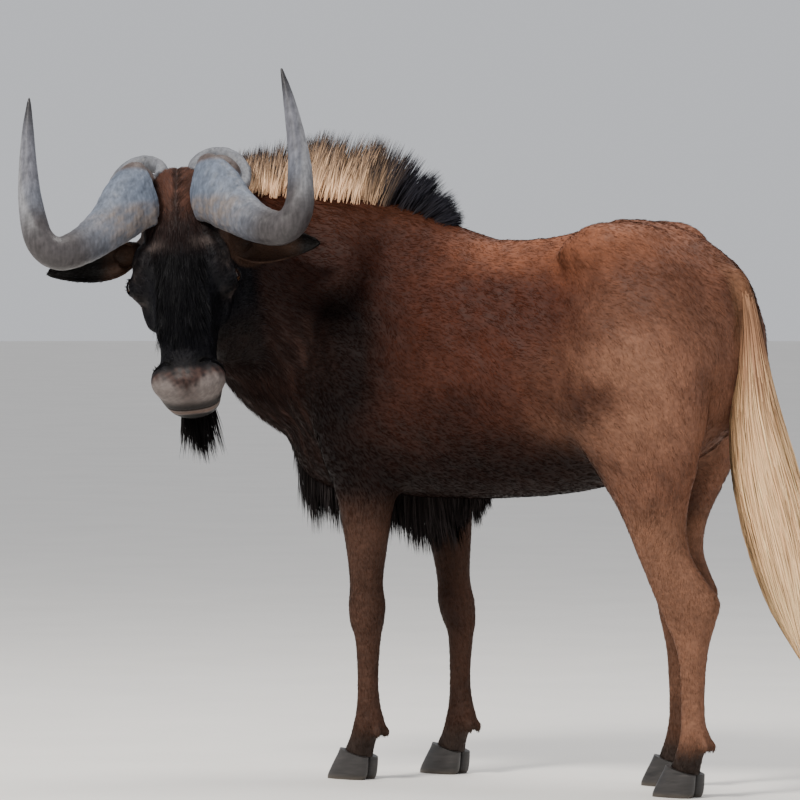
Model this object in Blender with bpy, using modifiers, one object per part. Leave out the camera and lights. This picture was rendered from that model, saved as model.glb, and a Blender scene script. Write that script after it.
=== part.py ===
"""A black wildebeest bull, life size, standing still and looking back over its left shoulder.

Metres, +Z up. The body faces -X, its left side is -Y, and the hooves rest on z = 0.
The flesh is modelled whole, from lofts and muscle masses fused by a voxel remesh, and is
then parted into head, neck, torso and legs with thin cuts. Horns, ears, eyes, hooves and
tail are their own solids, and the long hair grows as tapered locks from the flesh.
"""

import math

import bmesh
import bpy
import numpy as np
from mathutils import Matrix, Vector

GAP = 0.0003
# Locks are cut clear of the horns by a little less, so that this cut leaves the skin alone.
LOCK_GAP = 0.00026
VOXEL = 0.0065
FLESH_TRIANGLES = 4050
SMOOTHING_STEPS = 80

LEFT, RIGHT = -1, 1
SIDES = {"left": LEFT, "right": RIGHT}

# The head's place and attitude: the poll between the horn bosses, the compass heading of
# the face from +X, how far the face slopes below the horizontal, and the sideways tilt.
POLL = Vector((-0.695, -0.300, 1.215))
HEAD_HEADING = math.radians(-62)
HEAD_PITCH = math.radians(65)
HEAD_ROLL = math.radians(6.6)
ROLL_HEADING = math.radians(-56)

EYE_RADIUS = 0.0205
EYE_PLACE = (0.212, 0.094, -0.046)
EYE_LOOK = (-0.05, 0.86, 0.50)
LID_THICKNESS = 0.0050
LID_OPENING = (0.0175, 0.0085, 0.020)
HEAD_CUT_TURN = math.radians(25)
HEAD_CUT_HALF_WIDTH = 0.15


def head_matrix():
    """Head frame: x runs from the poll down the face, y to the animal's left, z out of it."""
    facing = Vector((math.cos(HEAD_HEADING), math.sin(HEAD_HEADING), 0))
    up = Vector((0, 0, 1))
    lateral = up.cross(facing)
    along = facing * math.cos(HEAD_PITCH) - up * math.sin(HEAD_PITCH)
    out = facing * math.sin(HEAD_PITCH) + up * math.cos(HEAD_PITCH)
    turn = Matrix((along, lateral, out)).transposed()
    roll_axis = Vector((math.cos(ROLL_HEADING), math.sin(ROLL_HEADING), 0))
    roll = Matrix.Rotation(HEAD_ROLL, 3, roll_axis)
    return Matrix.Translation(POLL) @ (roll @ turn).to_4x4()


HEAD = head_matrix()

# Trunk sections: x, half width, top, bottom, height of the greatest width, pinch of the
# upper and of the lower half.
TRUNK = [
    (0.472, 0.050, 0.965, 0.820, 0.90, 1.0, 1.0),
    (0.450, 0.098, 1.026, 0.740, 0.90, 1.0, 1.0),
    (0.390, 0.140, 1.085, 0.680, 0.88, 1.0, 1.0),
    (0.300, 0.170, 1.124, 0.630, 0.87, 1.0, 1.0),
    (0.200, 0.178, 1.140, 0.610, 0.84, 1.05, 0.9),
    (0.100, 0.182, 1.120, 0.588, 0.80, 1.15, 0.85),
    (0.000, 0.197, 1.098, 0.574, 0.79, 1.15, 0.8),
    (-0.120, 0.208, 1.098, 0.566, 0.79, 1.15, 0.8),
    (-0.220, 0.205, 1.126, 0.564, 0.78, 1.3, 0.85),
    (-0.320, 0.192, 1.168, 0.568, 0.77, 1.4, 0.9),
    (-0.420, 0.174, 1.180, 0.598, 0.78, 1.4, 1.0),
    (-0.500, 0.145, 1.140, 0.636, 0.80, 1.3, 1.0),
    (-0.560, 0.100, 1.040, 0.690, 0.84, 1.1, 1.0),
    (-0.592, 0.055, 0.930, 0.770, 0.85, 1.0, 1.0),
]

# Neck sections: a point of the crest, the point of the throat below it, half width.
NECK = [
    (-0.330, 0.000, 1.165, -0.400, 0.000, 0.640, 0.140),
    (-0.430, -0.010, 1.185, -0.540, -0.005, 0.650, 0.140),
    (-0.530, -0.055, 1.193, -0.635, -0.065, 0.710, 0.124),
    (-0.610, -0.125, 1.197, -0.665, -0.150, 0.785, 0.108),
    (-0.665, -0.200, 1.199, -0.658, -0.225, 0.865, 0.104),
    (-0.692, -0.265, 1.186, -0.635, -0.300, 0.925, 0.090),
    (-0.690, -0.312, 1.150, -0.625, -0.356, 0.985, 0.072),
]

# Muscle and bone masses of the left side: place, radii, lean inwards, pitch in degrees.
MASSES = [
    ((0.210, 0.086, 1.070), (0.125, 0.082, 0.062), 10, -6),
    ((0.300, 0.104, 0.930), (0.140, 0.086, 0.170), 6, -20),
    ((0.405, 0.080, 0.890), (0.058, 0.060, 0.115), 4, -8),
    ((-0.385, 0.105, 0.900), (0.090, 0.066, 0.200), 17, -14),
    ((-0.330, 0.128, 0.740), (0.100, 0.064, 0.120), 0, 22),
    ((-0.490, 0.085, 0.800), (0.080, 0.068, 0.110), 8, -10),
]
BRISKET = ((-0.475, 0, 0.695), (0.140, 0.100, 0.125))

# Hollows and swellings of the trunk: place on the left side, radius, height (down if < 0).
RELIEF = [
    ((0.085, 0.160, 1.000), 0.080, -0.016),
    ((0.160, 0.178, 0.720), 0.050, 0.007),
    ((0.080, 0.180, 0.680), 0.050, -0.010),
    ((-0.225, 0.195, 0.860), 0.070, -0.008),
    ((-0.440, 0.140, 1.070), 0.060, -0.008),
    ((0.300, 0.150, 1.040), 0.060, -0.006),
    ((0.360, 0.160, 0.800), 0.050, 0.006),
]

# Left legs: height, front, back, distance from the midline, half width.
FORELEG = [
    (0.900, -0.500, -0.280, 0.100, 0.060),
    (0.760, -0.485, -0.270, 0.118, 0.066),
    (0.660, -0.455, -0.262, 0.126, 0.062),
    (0.600, -0.428, -0.270, 0.125, 0.053),
    (0.540, -0.412, -0.290, 0.121, 0.046),
    (0.470, -0.398, -0.306, 0.117, 0.039),
    (0.400, -0.391, -0.320, 0.113, 0.033),
    (0.355, -0.395, -0.316, 0.110, 0.036),
    (0.318, -0.392, -0.320, 0.110, 0.034),
    (0.280, -0.381, -0.327, 0.109, 0.026),
    (0.200, -0.378, -0.332, 0.108, 0.021),
    (0.145, -0.380, -0.326, 0.108, 0.024),
    (0.115, -0.386, -0.318, 0.108, 0.029),
    (0.088, -0.394, -0.334, 0.108, 0.027),
    (0.064, -0.405, -0.344, 0.108, 0.028),
    (0.020, -0.420, -0.350, 0.108, 0.031),
]
HINDLEG = [
    (1.010, 0.160, 0.400, 0.095, 0.070),
    (0.900, 0.110, 0.450, 0.115, 0.085),
    (0.790, 0.105, 0.462, 0.124, 0.085),
    (0.705, 0.150, 0.450, 0.127, 0.077),
    (0.620, 0.212, 0.428, 0.124, 0.062),
    (0.540, 0.262, 0.405, 0.119, 0.047),
    (0.475, 0.290, 0.412, 0.113, 0.038),
    (0.425, 0.312, 0.446, 0.109, 0.035),
    (0.385, 0.330, 0.474, 0.106, 0.035),
    (0.340, 0.352, 0.462, 0.105, 0.032),
    (0.290, 0.376, 0.446, 0.104, 0.026),
    (0.220, 0.384, 0.438, 0.103, 0.0215),
    (0.150, 0.387, 0.438, 0.103, 0.024),
    (0.118, 0.384, 0.449, 0.103, 0.029),
    (0.090, 0.376, 0.437, 0.103, 0.027),
    (0.064, 0.366, 0.428, 0.103, 0.028),
    (0.020, 0.352, 0.420, 0.103, 0.031),
]
LEGS = {"fore": FORELEG, "hind": HINDLEG}
LEG_STRIDE = {"fore": {LEFT: 0.0, RIGHT: 0.080}, "hind": {LEFT: 0.0, RIGHT: -0.155}}
STRIDE_TOP = {"fore": 0.72, "hind": 0.92}
STRIDE_END = 0.30
LEG_TOP = {"fore": 0.555, "hind": 0.578}

# The coronet, where flesh meets hoof: its height, and how far it drops towards the heel.
CORONET = 0.054
CORONET_SLOPE = 0.30
CORONET_X = {"fore": -0.378, "hind": 0.393}
# A claw's sections: height, reach to the toe and to the heel from the coronet's middle,
# half width. The two claws of a foot stand either side of the leg's middle.
CLAW = [
    (0.000, 0.064, 0.025, 0.0150),
    (0.010, 0.062, 0.030, 0.0163),
    (0.032, 0.050, 0.033, 0.0164),
    (0.056, 0.036, 0.033, 0.0160),
    (0.085, 0.024, 0.030, 0.0150),
]
CLAW_OFFSET = 0.0172
DEWCLAW_PLACE = {"fore": (-0.322, 0.098), "hind": (0.446, 0.102)}
DEWCLAW_RADII = (0.012, 0.008, 0.015)
DEWCLAW_OFFSET = 0.015

# Skull sections down the face: distance from the poll, half width, dorsal and ventral
# reach, height of the greatest width, pinch of the dorsal and of the ventral half.
SKULL = [
    (-0.045, 0.045, -0.045, -0.130, -0.09, 1.0, 1.0),
    (-0.020, 0.066, -0.012, -0.140, -0.08, 0.9, 1.0),
    (0.040, 0.080, 0.008, -0.175, -0.08, 0.8, 1.0),
    (0.110, 0.090, 0.014, -0.205, -0.08, 0.75, 1.1),
    (0.180, 0.090, 0.014, -0.216, -0.07, 0.75, 1.2),
    (0.240, 0.082, 0.014, -0.194, -0.065, 0.8, 1.2),
    (0.300, 0.066, 0.014, -0.164, -0.06, 0.85, 1.1),
    (0.360, 0.057, 0.010, -0.140, -0.055, 0.85, 1.0),
    (0.410, 0.060, 0.002, -0.132, -0.05, 0.85, 0.9),
    (0.444, 0.064, -0.012, -0.128, -0.05, 0.85, 0.85),
    (0.464, 0.058, -0.030, -0.122, -0.06, 0.9, 0.9),
    (0.478, 0.044, -0.054, -0.114, -0.08, 0.95, 0.95),
    (0.484, 0.030, -0.070, -0.104, -0.09, 1.0, 1.0),
]
# Masses of the head: place (to the left side), radii. Eye's orbit, brow, cheek bone, jaw
# muscle, ear root, nostril wing, tear-bone ridge.
HEAD_MASSES = [
    ((0.212, 0.084, -0.048), (0.038, 0.032, 0.036)),
    ((0.178, 0.072, -0.022), (0.050, 0.030, 0.030)),
    ((0.230, 0.070, -0.075), (0.075, 0.026, 0.022)),
    ((0.170, 0.058, -0.140), (0.085, 0.034, 0.065)),
    ((0.115, 0.082, -0.100), (0.036, 0.030, 0.036)),
    ((0.428, 0.052, -0.036), (0.034, 0.025, 0.030)),
    ((0.285, 0.045, -0.012), (0.085, 0.018, 0.018)),
]
# The upper lip pad, the lower lip and the chin.
LIPS = [
    ((0.438, 0, -0.038), (0.038, 0.074, 0.040)),
    ((0.450, 0, -0.100), (0.038, 0.054, 0.027)),
    ((0.412, 0, -0.124), (0.050, 0.038, 0.022)),
]
# The mouth's line, as the plane between the lips: a point, and its slope down the face.
MOUTH = (0.450, 0, -0.076)
MOUTH_SLOPE = math.radians(-14)
MOUTH_HALF_SIZES = (0.065, 0.10, 0.0022)
MOUTH_DEPTH = 0.009
# The left nostril's comma, as a bent hollow: place and half width.
NOSTRIL = [
    (0.408, 0.030, -0.002, 0.004),
    (0.401, 0.044, -0.006, 0.010),
    (0.404, 0.058, -0.015, 0.013),
    (0.416, 0.068, -0.028, 0.012),
    (0.432, 0.073, -0.040, 0.005),
]

# Left horn in the head frame: along the face, to the side, out of the face, then the
# half width down the face and the half thickness.
HORN = [
    (0.032, 0.037, 0.012, 0.056, 0.028),
    (0.040, 0.056, 0.024, 0.072, 0.036),
    (0.066, 0.088, 0.036, 0.064, 0.038),
    (0.112, 0.128, 0.052, 0.048, 0.037),
    (0.160, 0.178, 0.076, 0.038, 0.035),
    (0.184, 0.228, 0.100, 0.034, 0.033),
    (0.158, 0.262, 0.119, 0.030, 0.030),
    (0.090, 0.273, 0.140, 0.025, 0.025),
    (0.020, 0.272, 0.160, 0.019, 0.019),
    (-0.055, 0.265, 0.182, 0.012, 0.012),
    (-0.118, 0.256, 0.202, 0.003, 0.003),
]
# The rolled rear edge of the boss, as an arch behind the poll: place and half thickness.
HORN_RIM = [
    (-0.020, 0.024, -0.030, 0.010),
    (-0.052, 0.040, -0.052, 0.013),
    (-0.070, 0.072, -0.066, 0.015),
    (-0.060, 0.106, -0.070, 0.016),
    (-0.026, 0.130, -0.062, 0.015),
    (0.012, 0.134, -0.040, 0.012),
    (0.040, 0.124, -0.010, 0.010),
]
HORN_HEEL = ((-0.005, 0.084, -0.030), (0.046, 0.047, 0.040))

# Ears: root and tip in the head frame (to the left side), widest half width and wall.
EAR_ROOT = (0.126, 0.092, -0.062)
EAR_TIP = (0.158, 0.278, -0.050)
EAR_OPENS = (0.50, 0.10, 0.80)
EAR_HALF_WIDTH = 0.037
EAR_WALL = 0.0042
EAR_BASE = (0.024, 0.022, 0.032)

# Long hair grows as flat tapered locks from a low core. CORE_SHARE is the core's height as
# a share of the hair, and LOCK_TAPER the width of a lock's rings, from its root on.
CORE_SHARE = 0.45
LOCK_TAPER = (0.85, 1.0, 0.78)
HAIR_SEED = 11

# The mane along the crest: root, half width of the fin at its root, hair length, lean back.
MANE = [
    (-0.684, -0.248, 1.182, 0.012, 0.046, 0.05),
    (-0.664, -0.198, 1.188, 0.018, 0.072, 0.05),
    (-0.612, -0.125, 1.188, 0.022, 0.096, 0.08),
    (-0.530, -0.055, 1.184, 0.022, 0.126, 0.14),
    (-0.430, -0.010, 1.176, 0.022, 0.124, 0.26),
    (-0.350, 0.000, 1.162, 0.019, 0.098, 0.60),
    (-0.285, 0.000, 1.140, 0.015, 0.068, 1.10),
    (-0.245, 0.000, 1.126, 0.008, 0.036, 1.80),
]
MANE_SINK = 0.035
# Rows of mane locks: place across the crest, fan outwards, share of the length, count.
MANE_COLUMNS = [(0.0, 0.00, 1.00, 21), (-0.75, 0.16, 0.86, 18), (0.75, 0.16, 0.86, 18)]
MANE_LOCK = (0.0190, 0.0048)

# The chest fringe along the midline: root, half width, hair length, lean back.
FRINGE = [
    (-0.600, 0.000, 0.720, 0.012, 0.060, -0.05),
    (-0.580, 0.000, 0.670, 0.024, 0.155, 0.00),
    (-0.530, 0.000, 0.630, 0.030, 0.130, 0.02),
    (-0.450, 0.000, 0.600, 0.032, 0.110, 0.05),
    (-0.350, 0.000, 0.578, 0.032, 0.115, 0.05),
    (-0.250, 0.000, 0.572, 0.028, 0.120, 0.05),
    (-0.180, 0.000, 0.572, 0.018, 0.075, 0.05),
    (-0.135, 0.000, 0.574, 0.008, 0.025, 0.05),
]
FRINGE_SINK = 0.030
FRINGE_COLUMNS = [(-0.45, 0.04, 1.0, 14), (0.45, 0.04, 0.92, 13)]
FRINGE_LOCK = (0.0215, 0.0050)

# Tail: centre of the dock and the switch, half width across and along x, down the tail.
TAIL = [
    (0.405, 0.000, 1.022, 0.024, 0.022),
    (0.440, 0.000, 1.018, 0.025, 0.022),
    (0.468, 0.000, 0.985, 0.023, 0.020),
    (0.480, 0.000, 0.920, 0.022, 0.019),
    (0.484, 0.000, 0.860, 0.026, 0.026),
    (0.492, -0.004, 0.760, 0.034, 0.044),
    (0.512, -0.008, 0.660, 0.038, 0.058),
    (0.540, -0.010, 0.560, 0.038, 0.064),
    (0.568, -0.010, 0.460, 0.032, 0.060),
    (0.592, -0.008, 0.360, 0.022, 0.044),
    (0.610, -0.006, 0.270, 0.005, 0.010),
]

# The tail's core ends after this many rows of TAIL, at this share of their width. Layers of
# its locks: start and end down the tail, from 0 to 1, and how many stand round it.
TAIL_CORE_ROWS = 7
TAIL_CORE_SHARE = 0.62
TAIL_LAYERS = [(0.22, 0.62, 5), (0.38, 0.82, 6), (0.54, 1.00, 6)]
TAIL_LOCK = (0.023, 0.0060)

# Low cores under the nose brush and the forelock: place and radii in the head frame.
BRUSH_CORE = ((0.302, 0, 0.010), (0.085, 0.040, 0.024))
FORELOCK_CORE = ((0.045, 0, 0.000), (0.085, 0.034, 0.024))
# Locks in the head frame. Each row: the first and the last root, the way the hair grows from
# each, how it bends, its length at each, columns, roots in a column, and the columns' spread.
BRUSH = ((0.210, 0.000, 0.006), (0.352, 0.000, 0.006), (0.70, 0, 0.72), (0.90, 0, 0.58),
         (0.20, 0, -0.16), (0.060, 0.062), 3, 5, (0.022, 0.42))
FORELOCK = ((-0.034, 0.000, -0.012), (0.082, 0.000, 0.008), (1.0, 0, 0.26), (1.0, 0, 0.20),
            (0.05, 0, -0.14), (0.060, 0.082), 3, 4, (0.017, 0.16))
BEARD = ((0.345, 0.000, -0.122), (0.440, 0.000, -0.118), (0.60, 0, -0.80), (0.92, 0, -0.40),
         (0.02, 0, 0.02), (0.070, 0.108), 3, 4, (0.014, 0.06))
HEAD_LOCK = (0.0150, 0.0036)

# Colours of the solids, taken from the photo: red, green, blue and roughness.
COLOURS = {
    "head": (0.030, 0.024, 0.022, 0.75),
    "neck": (0.070, 0.034, 0.022, 0.80),
    "torso": (0.105, 0.046, 0.026, 0.75),
    "leg": (0.115, 0.062, 0.040, 0.75),
    "hoof": (0.045, 0.040, 0.038, 0.45),
    "horn": (0.200, 0.205, 0.215, 0.50),
    "ear": (0.055, 0.034, 0.026, 0.80),
    "eye": (0.012, 0.008, 0.006, 0.08),
    "tail": (0.520, 0.340, 0.170, 0.70),
}


def in_head(along, lateral, out):
    """A point of the head frame in the model's frame."""
    return HEAD @ Vector((along, lateral, out))


def head_way(along, lateral, out):
    """A direction of the head frame in the model's frame."""
    return HEAD.to_3x3() @ Vector((along, lateral, out))


def smooth_rows(rows, steps):
    """Catmull-Rom curve through rows of numbers, with the given steps between two rows."""
    rows = np.array(rows, float)
    padded = np.vstack([2 * rows[0] - rows[1], rows, 2 * rows[-1] - rows[-2]])
    made = []
    for i in range(len(rows) - 1):
        p0, p1, p2, p3 = padded[i : i + 4]
        for k in range(steps):
            t = k / steps
            made.append(
                0.5 * (2 * p1 + (p2 - p0) * t + (2 * p0 - 5 * p1 + 4 * p2 - p3) * t**2
                       + (3 * p1 - p0 - 3 * p2 + p3) * t**3)
            )
    made.append(rows[-1])
    return np.array(made)


def mesh_object(name, bm):
    bmesh.ops.recalc_face_normals(bm, faces=bm.faces)
    mesh = bpy.data.meshes.new(name)
    bm.to_mesh(mesh)
    bm.free()
    obj = bpy.data.objects.new(name, mesh)
    bpy.context.scene.collection.objects.link(obj)
    return obj


def copy_of(obj, name):
    made = bpy.data.objects.new(name, obj.data.copy())
    bpy.context.scene.collection.objects.link(made)
    return made


def apply_modifiers(obj):
    """Replaces obj's mesh by the evaluated one."""
    graph = bpy.context.evaluated_depsgraph_get()
    old = obj.data
    obj.data = bpy.data.meshes.new_from_object(obj.evaluated_get(graph))
    obj.modifiers.clear()
    obj.vertex_groups.clear()
    bpy.data.meshes.remove(old)


def boolean(obj, operation, other, solver="EXACT"):
    """Applies one Boolean with an object, or with a collection of closed meshes."""
    spare = obj.data.copy()
    modifier = obj.modifiers.new("boolean", "BOOLEAN")
    modifier.operation = operation
    modifier.solver = solver
    if isinstance(other, bpy.types.Collection):
        modifier.operand_type = "COLLECTION"
        modifier.collection = other
        others = list(other.objects)
    else:
        modifier.object = other
        others = [other]
    apply_modifiers(obj)
    if not obj.data.polygons and solver == "EXACT":
        obj.data = spare
        boolean(obj, operation, other, "MANIFOLD")
        return
    bpy.data.meshes.remove(spare)
    for one in others:
        bpy.data.objects.remove(one)


def swollen(obj, by=GAP):
    """A copy pushed out along its normals, to cut a neighbour back with an even gap."""
    made = copy_of(obj, "swollen")
    push = made.modifiers.new("push", "DISPLACE")
    push.strength = by
    push.mid_level = 0
    apply_modifiers(made)
    return made


def enclosed(island):
    """Six times the volume inside a closed surface."""
    total = 0
    for face in island:
        first = face.verts[0].co
        for second, third in zip(face.verts[1:], face.verts[2:]):
            total += first.dot(second.co.cross(third.co))
    return abs(total)


def keep_largest(obj):
    """Deletes every closed surface of obj but the one that encloses most."""
    bm = bmesh.new()
    bm.from_mesh(obj.data)
    seen, islands = set(), []
    for start in bm.faces:
        if start in seen:
            continue
        island, front = [], [start]
        seen.add(start)
        while front:
            face = front.pop()
            island.append(face)
            for edge in face.edges:
                for other in edge.link_faces:
                    if other not in seen:
                        seen.add(other)
                        front.append(other)
        islands.append(island)
    islands.sort(key=enclosed, reverse=True)
    for island in islands[1:]:
        bmesh.ops.delete(bm, geom=island, context="FACES")
    bm.to_mesh(obj.data)
    bm.free()


def split_faces(obj):
    """Splits the faces into triangles, so that a neighbour is cut by the very same faces."""
    bm = bmesh.new()
    bm.from_mesh(obj.data)
    bmesh.ops.triangulate(bm, faces=bm.faces)
    bm.to_mesh(obj.data)
    bm.free()


def add_loft(bm, rings):
    """Joins rings of equal counts of points with quads and closes both ends."""
    loops = [[bm.verts.new(p) for p in ring] for ring in rings]
    count = len(loops[0])
    for lower, upper in zip(loops, loops[1:]):
        for k in range(count):
            n = (k + 1) % count
            bm.faces.new((lower[k], lower[n], upper[n], upper[k]))
    bm.faces.new(loops[0][::-1])
    bm.faces.new(loops[-1])


def loft_object(name, rings):
    bm = bmesh.new()
    add_loft(bm, rings)
    return mesh_object(name, bm)


def oval(centre, side, up, half_width, rise, fall, pinch_up=1.0, pinch_down=1.0, count=28):
    """An oval ring: its upper and lower halves have their own reach, and a pinch over 1
    narrows a half towards its tip."""
    ring = []
    for k in range(count):
        angle = 2 * math.pi * k / count
        c, s = math.cos(angle), math.sin(angle)
        pinch = pinch_up if s > 0 else pinch_down
        x = half_width * math.copysign(abs(c) ** pinch, c)
        y = (rise if s > 0 else fall) * s
        ring.append(centre + side * x + up * y)
    return ring


def sweep(points, broad, thin, first_axis, count=14):
    """Rings of ovals along a path, their axes carried along it without twist."""
    points = [Vector(p) for p in points]
    rings, axis = [], Vector(first_axis)
    for i, point in enumerate(points):
        ahead, behind = points[min(i + 1, len(points) - 1)], points[max(i - 1, 0)]
        way = (ahead - behind).normalized()
        axis = (axis - way * way.dot(axis)).normalized()
        other = way.cross(axis)
        rings.append(oval(point, axis, other, broad[i], thin[i], thin[i], count=count))
    return rings


def add_mass(bm, centre, radii, turn=Matrix.Identity(4), frame=Matrix.Identity(4)):
    """An ellipsoid muscle or bone mass, turned about its centre."""
    matrix = frame @ Matrix.Translation(centre) @ turn @ Matrix.Diagonal((*radii, 1))
    bmesh.ops.create_icosphere(bm, subdivisions=3, radius=1, matrix=matrix)


def ball(name, centre, radii, frame=Matrix.Identity(4), segments=20, rings=12):
    """A cutter or a solid in the shape of an ellipsoid."""
    bm = bmesh.new()
    matrix = frame @ Matrix.Translation(centre) @ Matrix.Diagonal((*radii, 1))
    bmesh.ops.create_uvsphere(bm, u_segments=segments, v_segments=rings, radius=1, matrix=matrix)
    return mesh_object(name, bm)


def box(name, matrix, half_sizes, grow=0.0):
    """A cutter box in the frame of a matrix."""
    bm = bmesh.new()
    scale = Matrix.Diagonal((*[2 * (h + grow) for h in half_sizes], 1))
    bmesh.ops.create_cube(bm, size=1, matrix=matrix @ scale)
    return mesh_object(name, bm)


def frame_of(origin, normal, near):
    """A matrix at origin whose z axis is normal and whose x axis lies closest to near."""
    z = Vector(normal).normalized()
    x = (Vector(near) - z * z.dot(Vector(near))).normalized()
    turn = Matrix((x, z.cross(x), z)).transposed().to_4x4()
    return Matrix.Translation(origin) @ turn


def part_off(whole, name, cutter):
    """Cuts what lies in the cutter off the whole as a new node, with a thin gap between them.
    cutter(grow) makes the cutting body, grown on all sides."""
    piece = copy_of(whole, name)
    boolean(piece, "INTERSECT", cutter(-GAP / 2))
    boolean(whole, "DIFFERENCE", cutter(GAP / 2))
    keep_largest(piece)
    keep_largest(whole)
    return piece


def stride(kind, side, height):
    """How far a leg has swung along x at a height: none at its root, all below the knee."""
    top = STRIDE_TOP[kind]
    share = min(max((top - height) / (top - STRIDE_END), 0), 1)
    return LEG_STRIDE[kind][side] * share


def add_leg(bm, kind, side):
    rings = []
    for height, front, back, lateral, half_width in smooth_rows(LEGS[kind], 4):
        middle = (front + back) / 2 + stride(kind, side, height)
        centre = Vector((middle, side * lateral, height))
        reach = (back - front) / 2
        rings.append(
            oval(centre, Vector((0, 1, 0)), Vector((1, 0, 0)), half_width, reach, reach, 0.9, 0.9, 20)
        )
    add_loft(bm, rings)
    x, height = DEWCLAW_PLACE[kind]
    for offset in (-DEWCLAW_OFFSET, DEWCLAW_OFFSET):
        lateral = side * LEGS[kind][-1][3] + offset
        add_mass(bm, (x + stride(kind, side, height), lateral, height), DEWCLAW_RADII)


def add_trunk(bm):
    rings = []
    for x, half_width, top, bottom, wide, pinch_up, pinch_down in smooth_rows(TRUNK, 4):
        centre = Vector((x, 0, wide))
        rings.append(
            oval(centre, Vector((0, 1, 0)), Vector((0, 0, 1)), half_width,
                 top - wide, wide - bottom, pinch_up, pinch_down)
        )
    add_loft(bm, rings)
    for (x, y, z), radii, lean, pitch in MASSES:
        for side in (LEFT, RIGHT):
            turn = Matrix.Rotation(math.radians(side * lean), 4, "X")
            turn = turn @ Matrix.Rotation(math.radians(pitch), 4, "Y")
            add_mass(bm, (x, side * y, z), radii, turn)
    add_mass(bm, *BRISKET)


def add_neck(bm):
    rings = []
    rows = smooth_rows(NECK, 5)
    crests, throats = rows[:, :3], rows[:, 3:6]
    ways = np.gradient((crests + throats) / 2, axis=0)
    for crest, throat, way, half_width in zip(crests, throats, ways, rows[:, 6]):
        up = Vector(crest - throat)
        reach = up.length / 2
        up.normalize()
        side = Vector(way).cross(up).normalized()
        centre = Vector((crest + throat) / 2)
        rings.append(oval(centre, side, up, half_width, reach, reach, 1.25, 1.1))
    add_loft(bm, rings)


def add_head(bm):
    side, out = head_way(0, 1, 0), head_way(0, 0, 1)
    rings = []
    for along, half_width, top, bottom, wide, pinch_up, pinch_down in smooth_rows(SKULL, 4):
        centre = in_head(along, 0, wide)
        rings.append(
            oval(centre, side, out, half_width, top - wide, wide - bottom, pinch_up, pinch_down)
        )
    add_loft(bm, rings)
    for (along, lateral, outward), radii in HEAD_MASSES:
        for s in (-1, 1):
            add_mass(bm, (along, s * lateral, outward), radii, frame=HEAD)
    for centre, radii in LIPS:
        add_mass(bm, centre, radii, frame=HEAD)


def points_of(mesh):
    points = np.empty(len(mesh.vertices) * 3)
    mesh.vertices.foreach_get("co", points)
    return points.reshape(-1, 3)


def by_region(points, trunk, face, shin):
    """One number for each point: the trunk's, the face's or the shin's, blended between."""
    down_leg = np.clip((0.60 - points[:, 2]) / 0.20, 0, 1)
    inverse = np.array(HEAD.inverted())
    local = points @ inverse[:3, :3].T + inverse[:3, 3]
    forward = 0.563 * (local[:, 0] + 0.03) + 0.826 * (local[:, 2] + 0.08)
    near = (np.abs(local[:, 1]) < 0.14) & (local[:, 0] < 0.56) & (local[:, 0] > -0.08)
    into_face = np.where(near, np.clip((forward + 0.05) / 0.08, 0, 1), 0)
    return trunk + (shin - trunk) * down_leg + (face - trunk) * into_face


def set_weights(obj, name, weights):
    group = obj.vertex_groups.new(name=name)
    levels = np.round(weights, 2)
    for level in np.unique(levels):
        group.add([int(i) for i in np.nonzero(levels == level)[0]], float(level), "REPLACE")


def raise_relief(mesh):
    points = points_of(mesh)
    normals = np.empty(len(points) * 3)
    mesh.vertices.foreach_get("normal", normals)
    normals = normals.reshape(-1, 3)
    for (x, y, z), radius, height in RELIEF:
        for side in (LEFT, RIGHT):
            away = np.sum((points - (x, side * y, z)) ** 2, axis=1)
            points += normals * (height * np.exp(-away / radius**2))[:, None]
    mesh.vertices.foreach_set("co", points.ravel())
    mesh.update()


def flesh():
    """The whole skin as one closed mesh: rough masses, fused, smoothed and thinned out."""
    bm = bmesh.new()
    add_trunk(bm)
    add_neck(bm)
    add_head(bm)
    for side in (LEFT, RIGHT):
        add_leg(bm, "fore", side)
        add_leg(bm, "hind", side)
    skin = mesh_object("flesh", bm)
    remesh = skin.modifiers.new("fuse", "REMESH")
    remesh.mode = "VOXEL"
    remesh.voxel_size = VOXEL
    apply_modifiers(skin)
    set_weights(skin, "soft", by_region(points_of(skin.data), 1, 0.10, 0.07))
    smooth = skin.modifiers.new("soften", "SMOOTH")
    smooth.factor = 0.5
    smooth.iterations = SMOOTHING_STEPS
    smooth.vertex_group = "soft"
    apply_modifiers(skin)
    raise_relief(skin.data)
    set_weights(skin, "coarse", by_region(points_of(skin.data), 0.70, 0.22, 0.45))
    decimate = skin.modifiers.new("thin_out", "DECIMATE")
    decimate.ratio = FLESH_TRIANGLES / (2 * len(skin.data.polygons))
    decimate.vertex_group = "coarse"
    decimate.vertex_group_factor = 0.002
    apply_modifiers(skin)
    return skin


def add_lids(skin):
    for s in (-1, 1):
        place = (EYE_PLACE[0], s * EYE_PLACE[1], EYE_PLACE[2])
        lid = EYE_RADIUS + LID_THICKNESS
        boolean(skin, "UNION", ball("lid", place, (lid, lid, lid), HEAD, 16, 10))


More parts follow.
